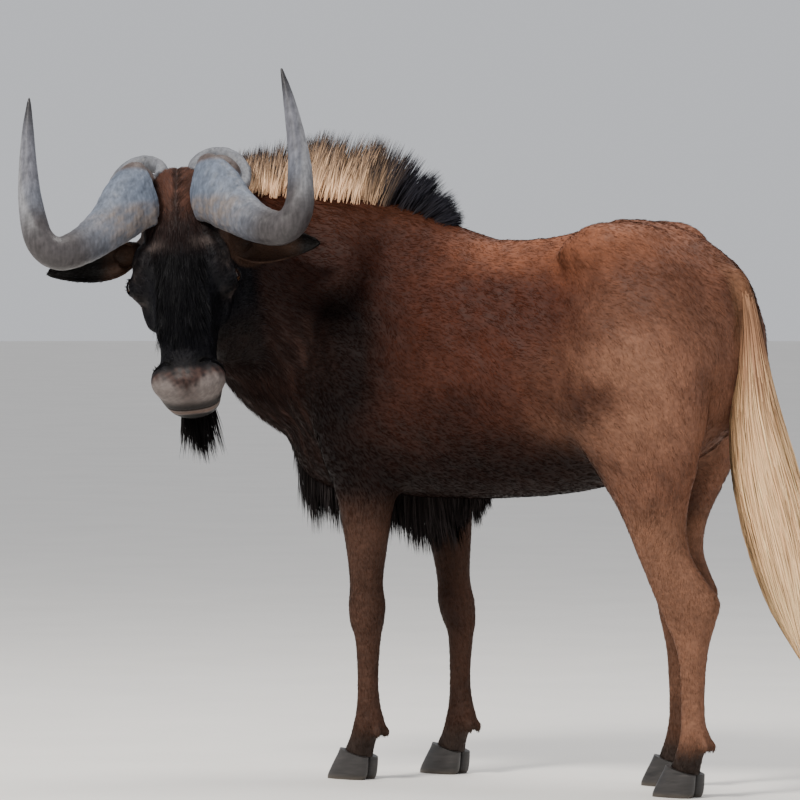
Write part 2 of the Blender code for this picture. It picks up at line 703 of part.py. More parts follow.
def carve_head(skin):
    """The openings of the lids, the eye sockets, the nostrils and the mouth's line."""
    for s in (-1, 1):
        place = (EYE_PLACE[0], s * EYE_PLACE[1], EYE_PLACE[2])
        look = Vector((EYE_LOOK[0], s * EYE_LOOK[1], EYE_LOOK[2])).normalized()
        opening = frame_of(Vector(place) + look * EYE_RADIUS, look, (1, 0, -0.25))
        hole = ball("opening", (0, 0, 0), LID_OPENING, HEAD @ opening, 16, 8)
        boolean(skin, "DIFFERENCE", hole, "MANIFOLD")
        socket = EYE_RADIUS + GAP
        hollow = ball("socket", place, (socket, socket, socket), HEAD, 12, 8)
        boolean(skin, "DIFFERENCE", hollow, "MANIFOLD")
        rows = smooth_rows(NOSTRIL, 2)
        points = [in_head(a, s * lateral, out) for a, lateral, out in rows[:, :3]]
        rings = sweep(points, rows[:, 3] * 0.55, rows[:, 3], head_way(1, 0, 0), 7)
        boolean(skin, "DIFFERENCE", loft_object("nostril", rings), "MANIFOLD")
    turn = Matrix.Rotation(MOUTH_SLOPE, 4, "Y")
    groove = box("mouth", HEAD @ Matrix.Translation(MOUTH) @ turn, MOUTH_HALF_SIZES)
    boolean(groove, "DIFFERENCE", swollen(skin, -MOUTH_DEPTH))
    boolean(skin, "DIFFERENCE", groove, "MANIFOLD")
    keep_largest(skin)


def fin(name, rows, way_up, sink):
    """A low core of hair along a line of roots, leaning back by the last number of a row."""
    rings = []
    for x, y, z, half_width, length, lean in smooth_rows(rows, 2):
        up = (Vector((0, 0, way_up)) + Vector((lean, 0, 0))).normalized()
        root = Vector((x, y, z))
        side = Vector((0, 1, 0))
        rings.append(oval(root, side, up, half_width, CORE_SHARE * length, sink, 1.4, 1.0, 8))
    return loft_object(name, rings)


def spaced(rows, count):
    """Rows at even distances along the smooth curve through the given rows."""
    fine = smooth_rows(rows, 8)
    steps = np.linalg.norm(np.diff(fine[:, :3], axis=0), axis=1)
    reach = np.concatenate([[0], np.cumsum(steps)])
    wanted = np.linspace(0, reach[-1], count)
    return np.column_stack([np.interp(wanted, reach, column) for column in fine.T])


def lock(collection, points, size, face):
    """A flat tapered lock through the points, its broad side turned to face, ending in a tip."""
    bm = bmesh.new()
    loops = []
    for i, taper in enumerate(LOCK_TAPER):
        tangent = (points[i + 1] - points[max(i - 1, 0)]).normalized()
        across = tangent.cross(face).normalized() * size[0] * taper
        normal = across.cross(tangent).normalized() * size[1] * taper
        corners = (across, normal, -across, -normal)
        loops.append([bm.verts.new(points[i] + corner) for corner in corners])
    for lower, upper in zip(loops, loops[1:]):
        for k in range(4):
            bm.faces.new((lower[k], lower[k - 3], upper[k - 3], upper[k]))
    tip = bm.verts.new(points[-1])
    for k in range(4):
        bm.faces.new((loops[-1][k], loops[-1][k - 3], tip))
    bm.faces.new(loops[0][::-1])
    made = mesh_object("lock", bm)
    bpy.context.scene.collection.objects.unlink(made)
    collection.objects.link(made)


def bent(root, way, bend, length):
    """The points of a lock that starts along way and bends more and more."""
    count = len(LOCK_TAPER)
    way = way.normalized()
    shares = [i / count for i in range(count + 1)]
    return [root + (way * t + bend * t * t) * length for t in shares]


def fuse_locks(node, collection):
    boolean(node, "UNION", collection, "MANIFOLD")
    bpy.data.collections.remove(collection)
    keep_largest(node)


def new_locks():
    collection = bpy.data.collections.new("locks")
    bpy.context.scene.collection.children.link(collection)
    return collection


def line_locks(collection, rows, columns, size, way_up, sink, random):
    """Locks in columns along a line of roots, standing up or hanging down from it."""
    up = Vector((0, 0, way_up))
    for place, fan, share, count in columns:
        stations = spaced(rows, count)
        ways = np.gradient(stations[:, :3], axis=0)
        for (x, y, z, half_width, length, lean), way in zip(stations, ways):
            tangent = Vector(way).normalized()
            side = tangent.cross(Vector((0, 0, 1))).normalized() * math.copysign(1, place)
            shift, sway, turn = random.uniform(-1, 1, 3)
            root = Vector((x, y, z)) - up * (sink * 0.5) + side * abs(place) * half_width
            root += tangent * shift * 0.004
            grows = up + tangent * (lean + 0.10 * sway) + side * fan
            long = (length * share + sink * 0.5) * (1 + 0.07 * turn)
            face = side + tangent * 0.35 * turn
            lock(collection, bent(root, grows, tangent * (0.10 + 0.06 * sway), long), size, face)


def head_locks(collection, table, random):
    """Locks in columns down the face or under the chin."""
    first, last, way_first, way_last, bend, lengths, columns, count, (spread, fan) = table
    for column in range(columns):
        place = column - (columns - 1) / 2
        for i in range(count):
            t = (i + 0.5 * (column % 2)) / (count - 0.5)
            shift, sway, turn = random.uniform(-1, 1, 3)
            root = Vector(first).lerp(Vector(last), t)
            root.y += place * spread + 0.002 * shift
            grows = Vector(way_first).lerp(Vector(way_last), t)
            grows.y += place * fan + 0.08 * sway
            length = (lengths[0] + (lengths[1] - lengths[0]) * t) * (1 + 0.10 * turn)
            points = [HEAD @ p for p in bent(root, grows, Vector(bend), length)]
            lock(collection, points, HEAD_LOCK, head_way(1, 0.4 * turn, 1))


def tail_locks(collection, random):
    """Layers of long locks round the tail, each from inside the core to the hair's outline."""
    rows = spaced(TAIL, 60)
    points = [Vector(row[:3]) for row in rows]
    for start, end, count in TAIL_LAYERS:
        for k in range(count):
            shift, sway, turn = random.uniform(-1, 1, 3)
            angle = 2 * math.pi * (k + 0.5 * start + 0.15 * shift) / count
            path = []
            for step, reach in enumerate((0.45, 0.80, 0.90, 0.55)):
                at = start + (end - start) * step / 3 + 0.02 * sway
                i = min(int(at * 59), 59)
                tangent = (points[min(i + 1, 59)] - points[max(i - 1, 0)]).normalized()
                across = Vector((0, 1, 0))
                other = tangent.cross(across).normalized()
                offset = across * math.cos(angle) * rows[i][3] + other * math.sin(angle) * rows[i][4]
                path.append(points[i] + offset * reach)
            face = across * math.cos(angle) + other * math.sin(angle)
            lock(collection, path, TAIL_LOCK, face + Vector((0, 0.2 * turn, 0)))


def claw(name, kind, side, offset):
    """One half of a cloven hoof, cut off flat along the coronet."""
    across = Vector((0, 1, 0))
    to_toe = Vector((-1, 0, 0))
    middle = CORONET_X[kind] + stride(kind, side, 0)
    lateral = side * LEGS[kind][-1][3] + offset
    rings = []
    for height, toe, heel, half_width in CLAW:
        centre = Vector((middle, lateral, height))
        rings.append(oval(centre, across, to_toe, half_width, toe, heel, 1.15, 0.8, 10))
    made = loft_object(name, rings)
    boolean(made, "INTERSECT", below_coronet(kind, side, -GAP))
    return made


def below_coronet(kind, side, lift):
    """A box under the coronet's sloping plane."""
    normal = Vector((CORONET_SLOPE, 0, 1)).normalized()
    middle = CORONET_X[kind] + stride(kind, side, 0)
    depth = 0.2
    plane = Vector((middle, side * LEGS[kind][-1][3], CORONET)) + normal * (lift - depth)
    return box("under", frame_of(plane, normal, (1, 0, 0)), (0.20, 0.05, depth))


def leg(skin, kind, side_name):
    """A leg parted from the body, with its two claws."""
    side = SIDES[side_name]
    top = LEG_TOP[kind]
    x = sum(LEGS[kind][-1][1:3]) / 2 + LEG_STRIDE[kind][side] / 2
    centre = Matrix.Translation((x, side * 0.13, top / 2 - 0.05))
    half_sizes = (0.25, 0.10, top / 2 + 0.05)
    made = part_off(skin, f"{kind}leg_{side_name}", lambda grow: box("leg", centre, half_sizes, grow))
    boolean(made, "DIFFERENCE", below_coronet(kind, side, 0))
    keep_largest(made)
    for which, offset in (("outer", side * CLAW_OFFSET), ("inner", -side * CLAW_OFFSET)):
        claw(f"hoof_{kind}_{side_name}_{which}", kind, side, offset)
    return made


def head_cutter(grow):
    """All before a plane from behind the poll to behind the jaw, turned forward on the left."""
    top, bottom = Vector((-0.060, 0, -0.030)), Vector((0.235, 0, -0.225))
    down = (bottom - top).normalized()
    forward = Vector((-down.z, 0, down.x))
    turn = Matrix.Rotation(HEAD_CUT_TURN, 3, down)
    across, normal = turn @ Vector((0, 1, 0)), turn @ forward
    ring = []
    for a, b in ((-1, -1), (1, -1), (1, 1), (-1, 1)):
        corner = (top + bottom) / 2 + down * (0.15 + a * 0.36) + across * (b * HEAD_CUT_HALF_WIDTH)
        ring.append(corner - normal * grow)
    rings = [ring, [corner + forward * 0.7 for corner in ring]]
    return loft_object("before", [[HEAD @ corner for corner in one] for one in rings])


def part_head(skin):
    return part_off(skin, "head", head_cutter)


def neck_cut():
    """The frame of the cut between neck and torso, its z axis pointing forward."""
    top, bottom = Vector((-0.395, 0, 1.20)), Vector((-0.585, 0, 0.74))
    up = (top - bottom).normalized()
    forward = Vector((-up.z, 0, up.x))
    return frame_of(bottom, forward, up), (top - bottom).length


def part_neck(skin):
    frame, height = neck_cut()
    depth, spare = 0.30, 0.30
    half_height = (height + spare) / 2
    frame = frame @ Matrix.Translation((half_height, 0, depth))
    half_sizes = (half_height, 0.60, depth)
    return part_off(skin, "neck", lambda grow: box("before", frame, half_sizes, grow))


def horn(side_name, head, neck):
    """A boss that sweeps down and out, hooks up to a point, and has a rolled rear rim."""
    s = -SIDES[side_name]
    rows = smooth_rows(HORN, 2)
    points = [in_head(a, s * lateral, o) for a, lateral, o in rows[:, :3]]
    rings = sweep(points, rows[:, 3], rows[:, 4], head_way(1, 0, 0), 10)
    made = loft_object(f"horn_{side_name}", rings)
    rows = smooth_rows(HORN_RIM, 1)
    points = [in_head(a, s * lateral, o) for a, lateral, o in rows[:, :3]]
    rings = sweep(points, rows[:, 3] * 1.2, rows[:, 3], head_way(1, 0, 0), 7)
    (along, lateral, out), radii = HORN_HEEL
    boolean(made, "UNION", ball("heel", (along, s * lateral, out), radii, HEAD, 10, 6))
    boolean(made, "UNION", loft_object("rim", rings))
    for flesh_node in (head, neck):
        boolean(made, "DIFFERENCE", swollen(flesh_node), "MANIFOLD")
    keep_largest(made)
    split_faces(made)
    return made


def ear(side_name, head, neck):
    """A cupped leaf with a stout root, open forwards and outwards."""
    s = -SIDES[side_name]
    root = in_head(EAR_ROOT[0], s * EAR_ROOT[1], EAR_ROOT[2])
    tip = in_head(EAR_TIP[0], s * EAR_TIP[1], EAR_TIP[2])
    opens = head_way(EAR_OPENS[0], s * EAR_OPENS[1], EAR_OPENS[2])
    way = tip - root
    opens = (opens - way * opens.dot(way) / way.length_squared).normalized()
    across = way.cross(opens).normalized()
    bm = bmesh.new()
    along_steps, across_steps = 6, 6
    grid = []
    for i in range(along_steps + 1):
        t = 0.02 + 0.98 * i / along_steps
        half_width = EAR_HALF_WIDTH * (math.sin(math.pi * t**0.72) ** 0.75) + 0.002
        curl = math.radians(118 - 62 * t)
        row = []
        for k in range(across_steps + 1):
            angle = curl * (2 * k / across_steps - 1)
            radius = half_width / math.sin(min(curl, math.pi / 2))
            sideways = across * (radius * math.sin(angle))
            depth = opens * (radius * (1 - math.cos(angle)) - 0.5 * half_width)
            row.append(bm.verts.new(root + way * t + sideways + depth))
        grid.append(row)
    for lower, upper in zip(grid, grid[1:]):
        for k in range(across_steps):
            bm.faces.new((lower[k], lower[k + 1], upper[k + 1], upper[k]))
    made = mesh_object(f"ear_{side_name}", bm)
    wall = made.modifiers.new("wall", "SOLIDIFY")
    wall.thickness = EAR_WALL
    wall.offset = 0
    apply_modifiers(made)
    base = frame_of(root + way * 0.10, way, across)
    boolean(made, "UNION", ball("base", (0, 0, 0), EAR_BASE, base, 12, 8))
    for flesh_node in (head, neck):
        boolean(made, "DIFFERENCE", swollen(flesh_node), "MANIFOLD")
    keep_largest(made)


def eye(side_name):
    s = -SIDES[side_name]
    place = (EYE_PLACE[0], s * EYE_PLACE[1], EYE_PLACE[2])
    return ball(f"eye_{side_name}", place, (EYE_RADIUS,) * 3, HEAD, 12, 8)


def tail(torso, random):
    rows = smooth_rows(TAIL[:TAIL_CORE_ROWS], 2)
    points = [Vector(row[:3]) for row in rows]
    share = np.where(rows[:, 2] > 0.9, 1, TAIL_CORE_SHARE)
    rings = sweep(points, rows[:, 3] * share, rows[:, 4] * share, (0, 1, 0), 10)
    made = loft_object("tail", rings)
    locks = new_locks()
    tail_locks(locks, random)
    fuse_locks(made, locks)
    boolean(made, "DIFFERENCE", swollen(torso))
    keep_largest(made)


def clear_scene():
    for obj in list(bpy.data.objects):
        bpy.data.objects.remove(obj)


def stand_at_origin(objects):
    """Moves all so that the middle of the whole outline's base is the origin."""
    points = np.vstack([points_of(obj.data) for obj in objects])
    middle = (points.min(axis=0) + points.max(axis=0)) / 2
    shift = Vector((-middle[0], -middle[1], 0))
    for obj in objects:
        obj.data.transform(Matrix.Translation(shift))
    bpy.context.scene["origin_shift"] = shift


def colour_all(objects):
    for obj in objects:
        kind = obj.name.split("_")[0]
        kind = "leg" if "leg" in kind else kind
        red, green, blue, roughness = COLOURS[kind]
        material = bpy.data.materials.new(obj.name)
        material.use_nodes = True
        shader = material.node_tree.nodes["Principled BSDF"]
        shader.inputs["Base Color"].default_value = (red, green, blue, 1)
        shader.inputs["Roughness"].default_value = roughness
        shader.inputs["Metallic"].default_value = 0
        obj.data.materials.clear()
        obj.data.materials.append(material)
        obj.data.shade_smooth()
        obj.data.set_sharp_from_angle(angle=math.radians(50))


def main():
    clear_scene()
    random = np.random.default_rng(HAIR_SEED)
    skin = flesh()
    boolean(skin, "UNION", fin("mane", MANE, 1, MANE_SINK))
    boolean(skin, "UNION", fin("fringe", FRINGE, -1, FRINGE_SINK))
    locks = new_locks()
    line_locks(locks, MANE, MANE_COLUMNS, MANE_LOCK, 1, MANE_SINK, random)
    line_locks(locks, FRINGE, FRINGE_COLUMNS, FRINGE_LOCK, -1, FRINGE_SINK, random)
    fuse_locks(skin, locks)
    skin.name = "torso"
    for side_name in SIDES:
        leg(skin, "fore", side_name)
        leg(skin, "hind", side_name)
    head = part_head(skin)
    neck = part_neck(skin)
    boolean(head, "UNION", ball("brush", *BRUSH_CORE, HEAD, 10, 6))
    boolean(head, "UNION", ball("forelock", *FORELOCK_CORE, HEAD, 10, 6))
    add_lids(head)
    horns = []
    for side_name in SIDES:
        horns.append(horn(side_name, head, neck))
        ear(side_name, head, neck)
        eye(side_name)
    locks = new_locks()
    for table in (BRUSH, FORELOCK, BEARD):
        head_locks(locks, table, random)
    fuse_locks(head, locks)
    for made in horns:
        boolean(head, "DIFFERENCE", swollen(made, LOCK_GAP), "MANIFOLD")
        boolean(neck, "DIFFERENCE", swollen(made, LOCK_GAP), "MANIFOLD")
    carve_head(head)
    # A second, tighter cut clears the slivers that the first leaves along the thin rims.
    for made in horns:
        boolean(head, "DIFFERENCE", swollen(made, 0.8 * LOCK_GAP), "MANIFOLD")
    keep_largest(head)
    keep_largest(neck)
    tail(skin, random)
    objects = [obj for obj in bpy.data.objects if obj.type == "MESH"]
    stand_at_origin(objects)
    colour_all(objects)
    collection = bpy.data.collections.new("black_wildebeest")
    bpy.context.scene.collection.children.link(collection)
    for obj in objects:
        collection.objects.link(obj)
        bpy.context.scene.collection.objects.unlink(obj)


main()
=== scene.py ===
"""A black wildebeest bull, dressed: one skin, its coat and long hair, horns, eyes and hooves."""
import math

import bmesh
import bpy
import numpy as np
from mathutils import Matrix, Vector
from mathutils.bvhtree import BVHTree


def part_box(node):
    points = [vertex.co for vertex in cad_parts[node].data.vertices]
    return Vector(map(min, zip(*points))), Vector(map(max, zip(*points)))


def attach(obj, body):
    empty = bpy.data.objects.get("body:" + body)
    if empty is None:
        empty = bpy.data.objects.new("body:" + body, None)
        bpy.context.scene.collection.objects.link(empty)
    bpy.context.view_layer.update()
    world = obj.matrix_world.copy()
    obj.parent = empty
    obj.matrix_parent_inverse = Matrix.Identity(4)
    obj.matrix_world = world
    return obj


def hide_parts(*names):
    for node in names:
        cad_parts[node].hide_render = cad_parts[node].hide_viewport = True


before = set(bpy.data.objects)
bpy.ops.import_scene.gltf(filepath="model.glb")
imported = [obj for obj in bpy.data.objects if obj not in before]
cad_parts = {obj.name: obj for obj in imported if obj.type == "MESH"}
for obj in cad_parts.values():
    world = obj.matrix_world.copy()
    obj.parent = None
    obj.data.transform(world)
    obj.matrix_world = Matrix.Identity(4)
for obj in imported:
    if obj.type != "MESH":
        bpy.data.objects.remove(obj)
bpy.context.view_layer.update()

SKIN_VOXEL = 0.0048
HORN_VOXEL = 0.0026
COAT_TUFTS = 190000
COAT_PIECES = 5
MANE_HAIRS = 7500
FRINGE_HAIRS = 4600
TAIL_HAIRS = 4200
# Hair lines are cut into stations, and their hairs share the sway of a clump.
LINE_STATIONS = 200
CLUMPS = 60
# The flat layout of the tufts: where a sheet starts and how wide it is, then the same upwards;
# the four legs' sheets stand side by side.
TRUNK_SHEET = (0.02, 0.58, 0.02, 0.96)
HEAD_SHEET = (0.64, 0.34, 0.02, 0.46)
LEG_SHEET = (0.64, 0.078, 0.52, 0.46)
LEG_SHEET_STEP = 0.085
LEG_SHEET_TOP = 0.60
TUFT_PATCH = 0.003
UP = np.array((0.0, 0.0, 1.0))
# The photo's view: its compass heading, the camera's distance and height over what it aims
# at, the width of the picture there, and where it aims, to the right and up.
VIEW = math.radians(34)
VIEW_DISTANCE = 14.0
VIEW_RISE = 0.43
FRAME_WIDTH = 1.6
AIM_RIGHT = -0.29
AIM_HEIGHT = 0.77
SENSOR = 36
# Lights: to the right, towards the camera, height, size, power in watts, colour.
LIGHTS = {
    "key": (-3.2, 3.2, 4.2, 1.4, 460, (1.0, 0.96, 0.90)),
    "top": (0.5, -1.5, 4.5, 2.5, 150, (1.0, 0.97, 0.93)),
    "fill": (4.0, 3.0, 1.2, 3.0, 45, (0.92, 0.96, 1.0)),
}
LIGHT_AIM = 0.8
WORLD_COLOUR = (0.93, 0.95, 1.0, 1)
WORLD_POWER = 0.68
FLESH_NODES = ("head", "neck", "torso", "foreleg_left", "foreleg_right", "hindleg_left",
               "hindleg_right", "ear_left", "ear_right", "tail")

# Coat colours, linear.
# The darkest coat colour is painted shade, for the low flank, the belly and between the legs.
LOW_FLANK_SHADE = (0.0085, 0.0032, 0.0023)
MID_FLANK = (0.046, 0.0145, 0.0082)
UP_FLANK = (0.050, 0.0140, 0.0072)
# A painted highlight over the back, where the light falls from above.
BACK_HIGHLIGHT = (0.220, 0.0820, 0.0430)
RUSTY = (0.046, 0.0160, 0.0085)
HAUNCH = (0.142, 0.0620, 0.0380)
DUST = (0.185, 0.0930, 0.0570)
SHOULDER = (0.0040, 0.0018, 0.0014)
NECK_DARK = (0.0130, 0.0076, 0.0066)
THROAT = (0.0110, 0.0068, 0.0060)
FORE_SHIN = (0.055, 0.0270, 0.0180)
HIND_SHIN = (0.165, 0.0780, 0.0470)
# Black with a slight blue tint, which paints the face's bluish sheen.
FACE_BLACK_WITH_SHEEN = (0.0032, 0.0030, 0.0042)
BROW_BROWN = (0.0095, 0.0060, 0.0055)
FORELOCK_BROWN = (0.080, 0.0370, 0.0260)
BROW_PALE = (0.060, 0.0460, 0.0420)
EAR_BROWN = (0.050, 0.0270, 0.0180)
EAR_BLACK = (0.0035, 0.0028, 0.0026)
MUZZLE_TOP = (0.0050, 0.0045, 0.0055)
MUZZLE_PINK = (0.060, 0.0330, 0.0270)
MUZZLE_GREY = (0.150, 0.1270, 0.1190)
MUZZLE_DARK = (0.0080, 0.0065, 0.0065)
LIP_TAN = (0.090, 0.0560, 0.0430)
CHIN_BLACK = (0.0040, 0.0033, 0.0033)
NOTCH_BROWN = (0.020, 0.010, 0.008)
NOSTRIL_BLACK = (0.003, 0.0026, 0.0026)
# Painted highlights along the folds of the neck.
NECK_FOLD_HIGHLIGHT = (0.060, 0.0310, 0.0240)
PASTERN = (0.030, 0.020, 0.016)
DOCK_TONE = (0.16, 0.075, 0.040)
GREY_HAIR = (0.05, 0.05, 0.06)
MANE_CREAM = (0.97, 0.62, 0.37)
MANE_ROOT = (0.20, 0.085, 0.050)
MANE_BLACK = (0.012, 0.010, 0.012)
MANE_TIP = (0.010, 0.010, 0.014)
FRINGE_BASE = (0.016, 0.012, 0.011)
FRINGE_TIP = (0.010, 0.008, 0.008)
TAIL_CREAM = (0.80, 0.46, 0.235)
TAIL_DOCK = (0.30, 0.150, 0.088)
TAIL_TIP = (0.95, 0.61, 0.325)
BEARD_BLACK = (0.005, 0.004, 0.004)

# Horn, eye and hoof colours, linear.
HORN_GREY = (0.088, 0.106, 0.142)
HORN_BOSS = (0.115, 0.130, 0.162)
HORN_EDGE = (0.13, 0.095, 0.068)
HORN_HOOK = (0.038, 0.030, 0.027)
HORN_SHAFT = (0.105, 0.106, 0.124)
# A painted highlight along the outer side of the shafts.
HORN_HIGHLIGHT = (0.230, 0.230, 0.240)
HORN_TIP = (0.022, 0.021, 0.023)
HORN_HOLLOW = (0.055, 0.032, 0.020)
HORN_RIM_GREY = (0.125, 0.125, 0.132)
EYE_BROWN = (0.020, 0.013, 0.010)
IRIS = (0.045, 0.020, 0.009)
PUPIL = (0.003, 0.003, 0.004)
HOOF_DARK = (0.024, 0.021, 0.020)
HOOF_WORN = (0.07, 0.055, 0.040)

# Patches of the body: place and radii; None leaves an axis out.
DUST_PATCH = ((0.30, None, 0.78), (0.15, 1, 0.18))
# A patch of painted shade under the belly.
BELLY_PATCH = ((0.08, None, 0.64), (0.10, 1, 0.07))
SHOULDER_PATCH = ((-0.40, None, 0.84), (0.17, 1, 0.26))
DOCK_PATCH = ((0.47, None, 0.97), (0.05, 1, 0.10))
HIP_PATCH = ((0.21, None, 1.09), (0.11, 1, 0.09))
RIB_PATCH = ((-0.03, None, 0.82), (0.13, 1, 0.12))
WRINKLE_PATCH = ((-0.62, -0.10, 0.90), (0.07, 0.12, 0.10))
THROAT_PATCH = ((-0.60, -0.12, 0.80), (0.14, 0.16, 0.16))
# Patches of the head, in its frame and on both sides.
BROW_PATCH = ((0.150, 0.048, None), (0.010, 0.022, 1))
BROW_HAIR_PATCH = ((0.130, 0.048, 0), (0.011, 0.022, 1))
ORBIT_PATCH = ((0.185, 0.092, -0.015), (0.022, 0.016, 0.020))
CHEEK_PATCH = ((0.246, 0.092, -0.050), (0.014, 0.016, 0.018))
NOTCH_PATCH = ((0.456, 0.0, None), (0.010, 0.0040, 1))
EAR_ROOT_PATCH = ((0.140, 0.130, -0.052), (0.022, 0.022, 0.022))

# Forms of the head that the solids leave out: place, radii, height, on both sides.
HEAD_RELIEF = [
    ((0.150, 0.060, 0.008), (0.030, 0.020, 0.020), 0.003),
    ((0.250, 0.064, -0.060), (0.045, 0.020, 0.010), 0.003),
    ((0.300, 0.055, -0.100), (0.060, 0.020, 0.014), -0.003),
    ((0.235, 0.100, -0.055), (0.010, 0.012, 0.006), -0.002),
    ((0.438, 0.000, -0.030), (0.030, 0.006, 0.030), -0.0025),
    ((0.395, 0.045, 0.004), (0.012, 0.022, 0.010), 0.003),
    ((0.452, 0.036, -0.050), (0.020, 0.024, 0.018), 0.003),
    ((0.455, 0.030, -0.096), (0.016, 0.030, 0.008), 0.002),
]

# Smoothing of the fused skin: steps at a voxel of 6.5 mm, then its strength on face, shins
# and dock, where the trunk has 1, and the extra steps over the hips and the face.
SMOOTHING_STEPS = 80
SMOOTHING_VOXEL = 6.5e-3
SOFT_FACE = 0.10
SOFT_SHIN = 0.07
SOFT_DOCK = 0.05
HIP_STEPS = 70
FACE_STEPS = 4

LEFT, RIGHT = -1, 1
SIDES = {"left": LEFT, "right": RIGHT}
# The head frame counts the other way, as its y runs to the left.
HEAD_SIDES = {"left": 1, "right": -1}

# The head's place and attitude: the poll between the horn bosses, the compass heading of
# the face from +X, how far the face slopes below the horizontal, and the sideways tilt.
POLL = Vector((-0.695, -0.300, 1.215))
HEAD_HEADING = math.radians(-62)
HEAD_PITCH = math.radians(65)
HEAD_ROLL = math.radians(6.6)
ROLL_HEADING = math.radians(-56)

EYE_RADIUS = 0.0205
EYE_PLACE = (0.212, 0.094, -0.046)
EYE_LOOK = (-0.05, 0.86, 0.50)
LID_OPENING = (0.0175, 0.0085, 0.020)
LID_THICKNESS = 0.0036
SOCKET_GAP = 0.0002
CORNEA_BULGE = 0.035

# The plane between head and neck, in the head frame down the face and out of it: its way and
# a point on it.
HEAD_PLANE_WAY = (0.563, 0.826)
HEAD_PLANE_POINT = (-0.03, -0.08)


def head_matrix():
    """Head frame: x runs from the poll down the face, y to the animal's left, z out of it."""
    facing = Vector((math.cos(HEAD_HEADING), math.sin(HEAD_HEADING), 0))
    up = Vector((0, 0, 1))
    lateral = up.cross(facing)
    along = facing * math.cos(HEAD_PITCH) - up * math.sin(HEAD_PITCH)
    out = facing * math.sin(HEAD_PITCH) + up * math.cos(HEAD_PITCH)
    turn = Matrix((along, lateral, out)).transposed()
    roll_axis = Vector((math.cos(ROLL_HEADING), math.sin(ROLL_HEADING), 0))
    roll = Matrix.Rotation(HEAD_ROLL, 3, roll_axis)
    return Matrix.Translation(POLL) @ (roll @ turn).to_4x4()


HEAD = head_matrix()

# Trunk sections: x, half width, top, bottom, height of the greatest width, pinch of the
# upper and of the lower half.
TRUNK = [
    (0.472, 0.050, 0.965, 0.820, 0.90, 1.0, 1.0),
    (0.450, 0.098, 1.026, 0.740, 0.90, 1.0, 1.0),
    (0.390, 0.140, 1.085, 0.680, 0.88, 1.0, 1.0),
    (0.300, 0.170, 1.124, 0.630, 0.87, 1.0, 1.0),
    (0.200, 0.178, 1.140, 0.610, 0.84, 1.05, 0.9),
    (0.100, 0.182, 1.120, 0.588, 0.80, 1.15, 0.85),
    (0.000, 0.197, 1.098, 0.574, 0.79, 1.15, 0.8),
    (-0.120, 0.208, 1.098, 0.566, 0.79, 1.15, 0.8),
    (-0.220, 0.205, 1.126, 0.564, 0.78, 1.3, 0.85),
    (-0.320, 0.192, 1.168, 0.568, 0.77, 1.4, 0.9),
    (-0.420, 0.174, 1.180, 0.598, 0.78, 1.4, 1.0),
    (-0.500, 0.145, 1.140, 0.636, 0.80, 1.3, 1.0),
    (-0.560, 0.100, 1.040, 0.690, 0.84, 1.1, 1.0),
    (-0.592, 0.055, 0.930, 0.770, 0.85, 1.0, 1.0),
]

# Neck sections: a point of the crest, the point of the throat below it, half width.
NECK = [
    (-0.330, 0.000, 1.165, -0.400, 0.000, 0.640, 0.140),
    (-0.430, -0.010, 1.185, -0.540, -0.005, 0.650, 0.140),
    (-0.530, -0.055, 1.193, -0.635, -0.065, 0.710, 0.124),
    (-0.610, -0.125, 1.197, -0.665, -0.150, 0.785, 0.108),
    (-0.665, -0.200, 1.199, -0.658, -0.225, 0.865, 0.104),
    (-0.692, -0.265, 1.186, -0.635, -0.300, 0.925, 0.090),
    (-0.690, -0.312, 1.150, -0.625, -0.356, 0.985, 0.072),
]

# Muscle and bone masses of the left side: place, radii, lean inwards, pitch in degrees.
MASSES = [
    ((0.210, 0.086, 1.070), (0.125, 0.082, 0.062), 10, -6),
    ((0.300, 0.104, 0.930), (0.140, 0.086, 0.170), 6, -20),
    ((0.405, 0.080, 0.890), (0.058, 0.060, 0.115), 4, -8),
    ((-0.385, 0.105, 0.900), (0.090, 0.066, 0.200), 17, -14),
    ((-0.330, 0.128, 0.740), (0.100, 0.064, 0.120), 0, 22),
    ((-0.490, 0.085, 0.800), (0.080, 0.068, 0.110), 8, -10),
]
BRISKET = ((-0.475, 0, 0.695), (0.140, 0.100, 0.125))

# Hollows and swellings of the trunk: place on the left side, radius, height (down if < 0).
RELIEF = [
    ((0.085, 0.160, 1.000), 0.080, -0.016),
    ((0.160, 0.178, 0.720), 0.050, 0.007),
    ((0.080, 0.180, 0.680), 0.050, -0.010),
    ((-0.225, 0.195, 0.860), 0.070, -0.008),
    ((-0.440, 0.140, 1.070), 0.060, -0.008),
    ((0.300, 0.150, 1.040), 0.060, -0.006),
    ((0.360, 0.160, 0.800), 0.050, 0.006),
]

# Left legs: height, front, back, distance from the midline, half width.
FORELEG = [
    (0.900, -0.500, -0.280, 0.100, 0.060),
    (0.760, -0.485, -0.270, 0.118, 0.066),
    (0.660, -0.455, -0.262, 0.126, 0.062),
    (0.600, -0.428, -0.270, 0.125, 0.053),
    (0.540, -0.412, -0.290, 0.121, 0.046),
    (0.470, -0.398, -0.306, 0.117, 0.039),
    (0.400, -0.391, -0.320, 0.113, 0.033),
    (0.355, -0.395, -0.316, 0.110, 0.036),
    (0.318, -0.392, -0.320, 0.110, 0.034),
    (0.280, -0.381, -0.327, 0.109, 0.026),
    (0.200, -0.378, -0.332, 0.108, 0.021),
    (0.145, -0.380, -0.326, 0.108, 0.024),
    (0.115, -0.386, -0.318, 0.108, 0.029),
    (0.088, -0.394, -0.334, 0.108, 0.027),
    (0.064, -0.405, -0.344, 0.108, 0.028),
    (0.020, -0.420, -0.350, 0.108, 0.031),
]
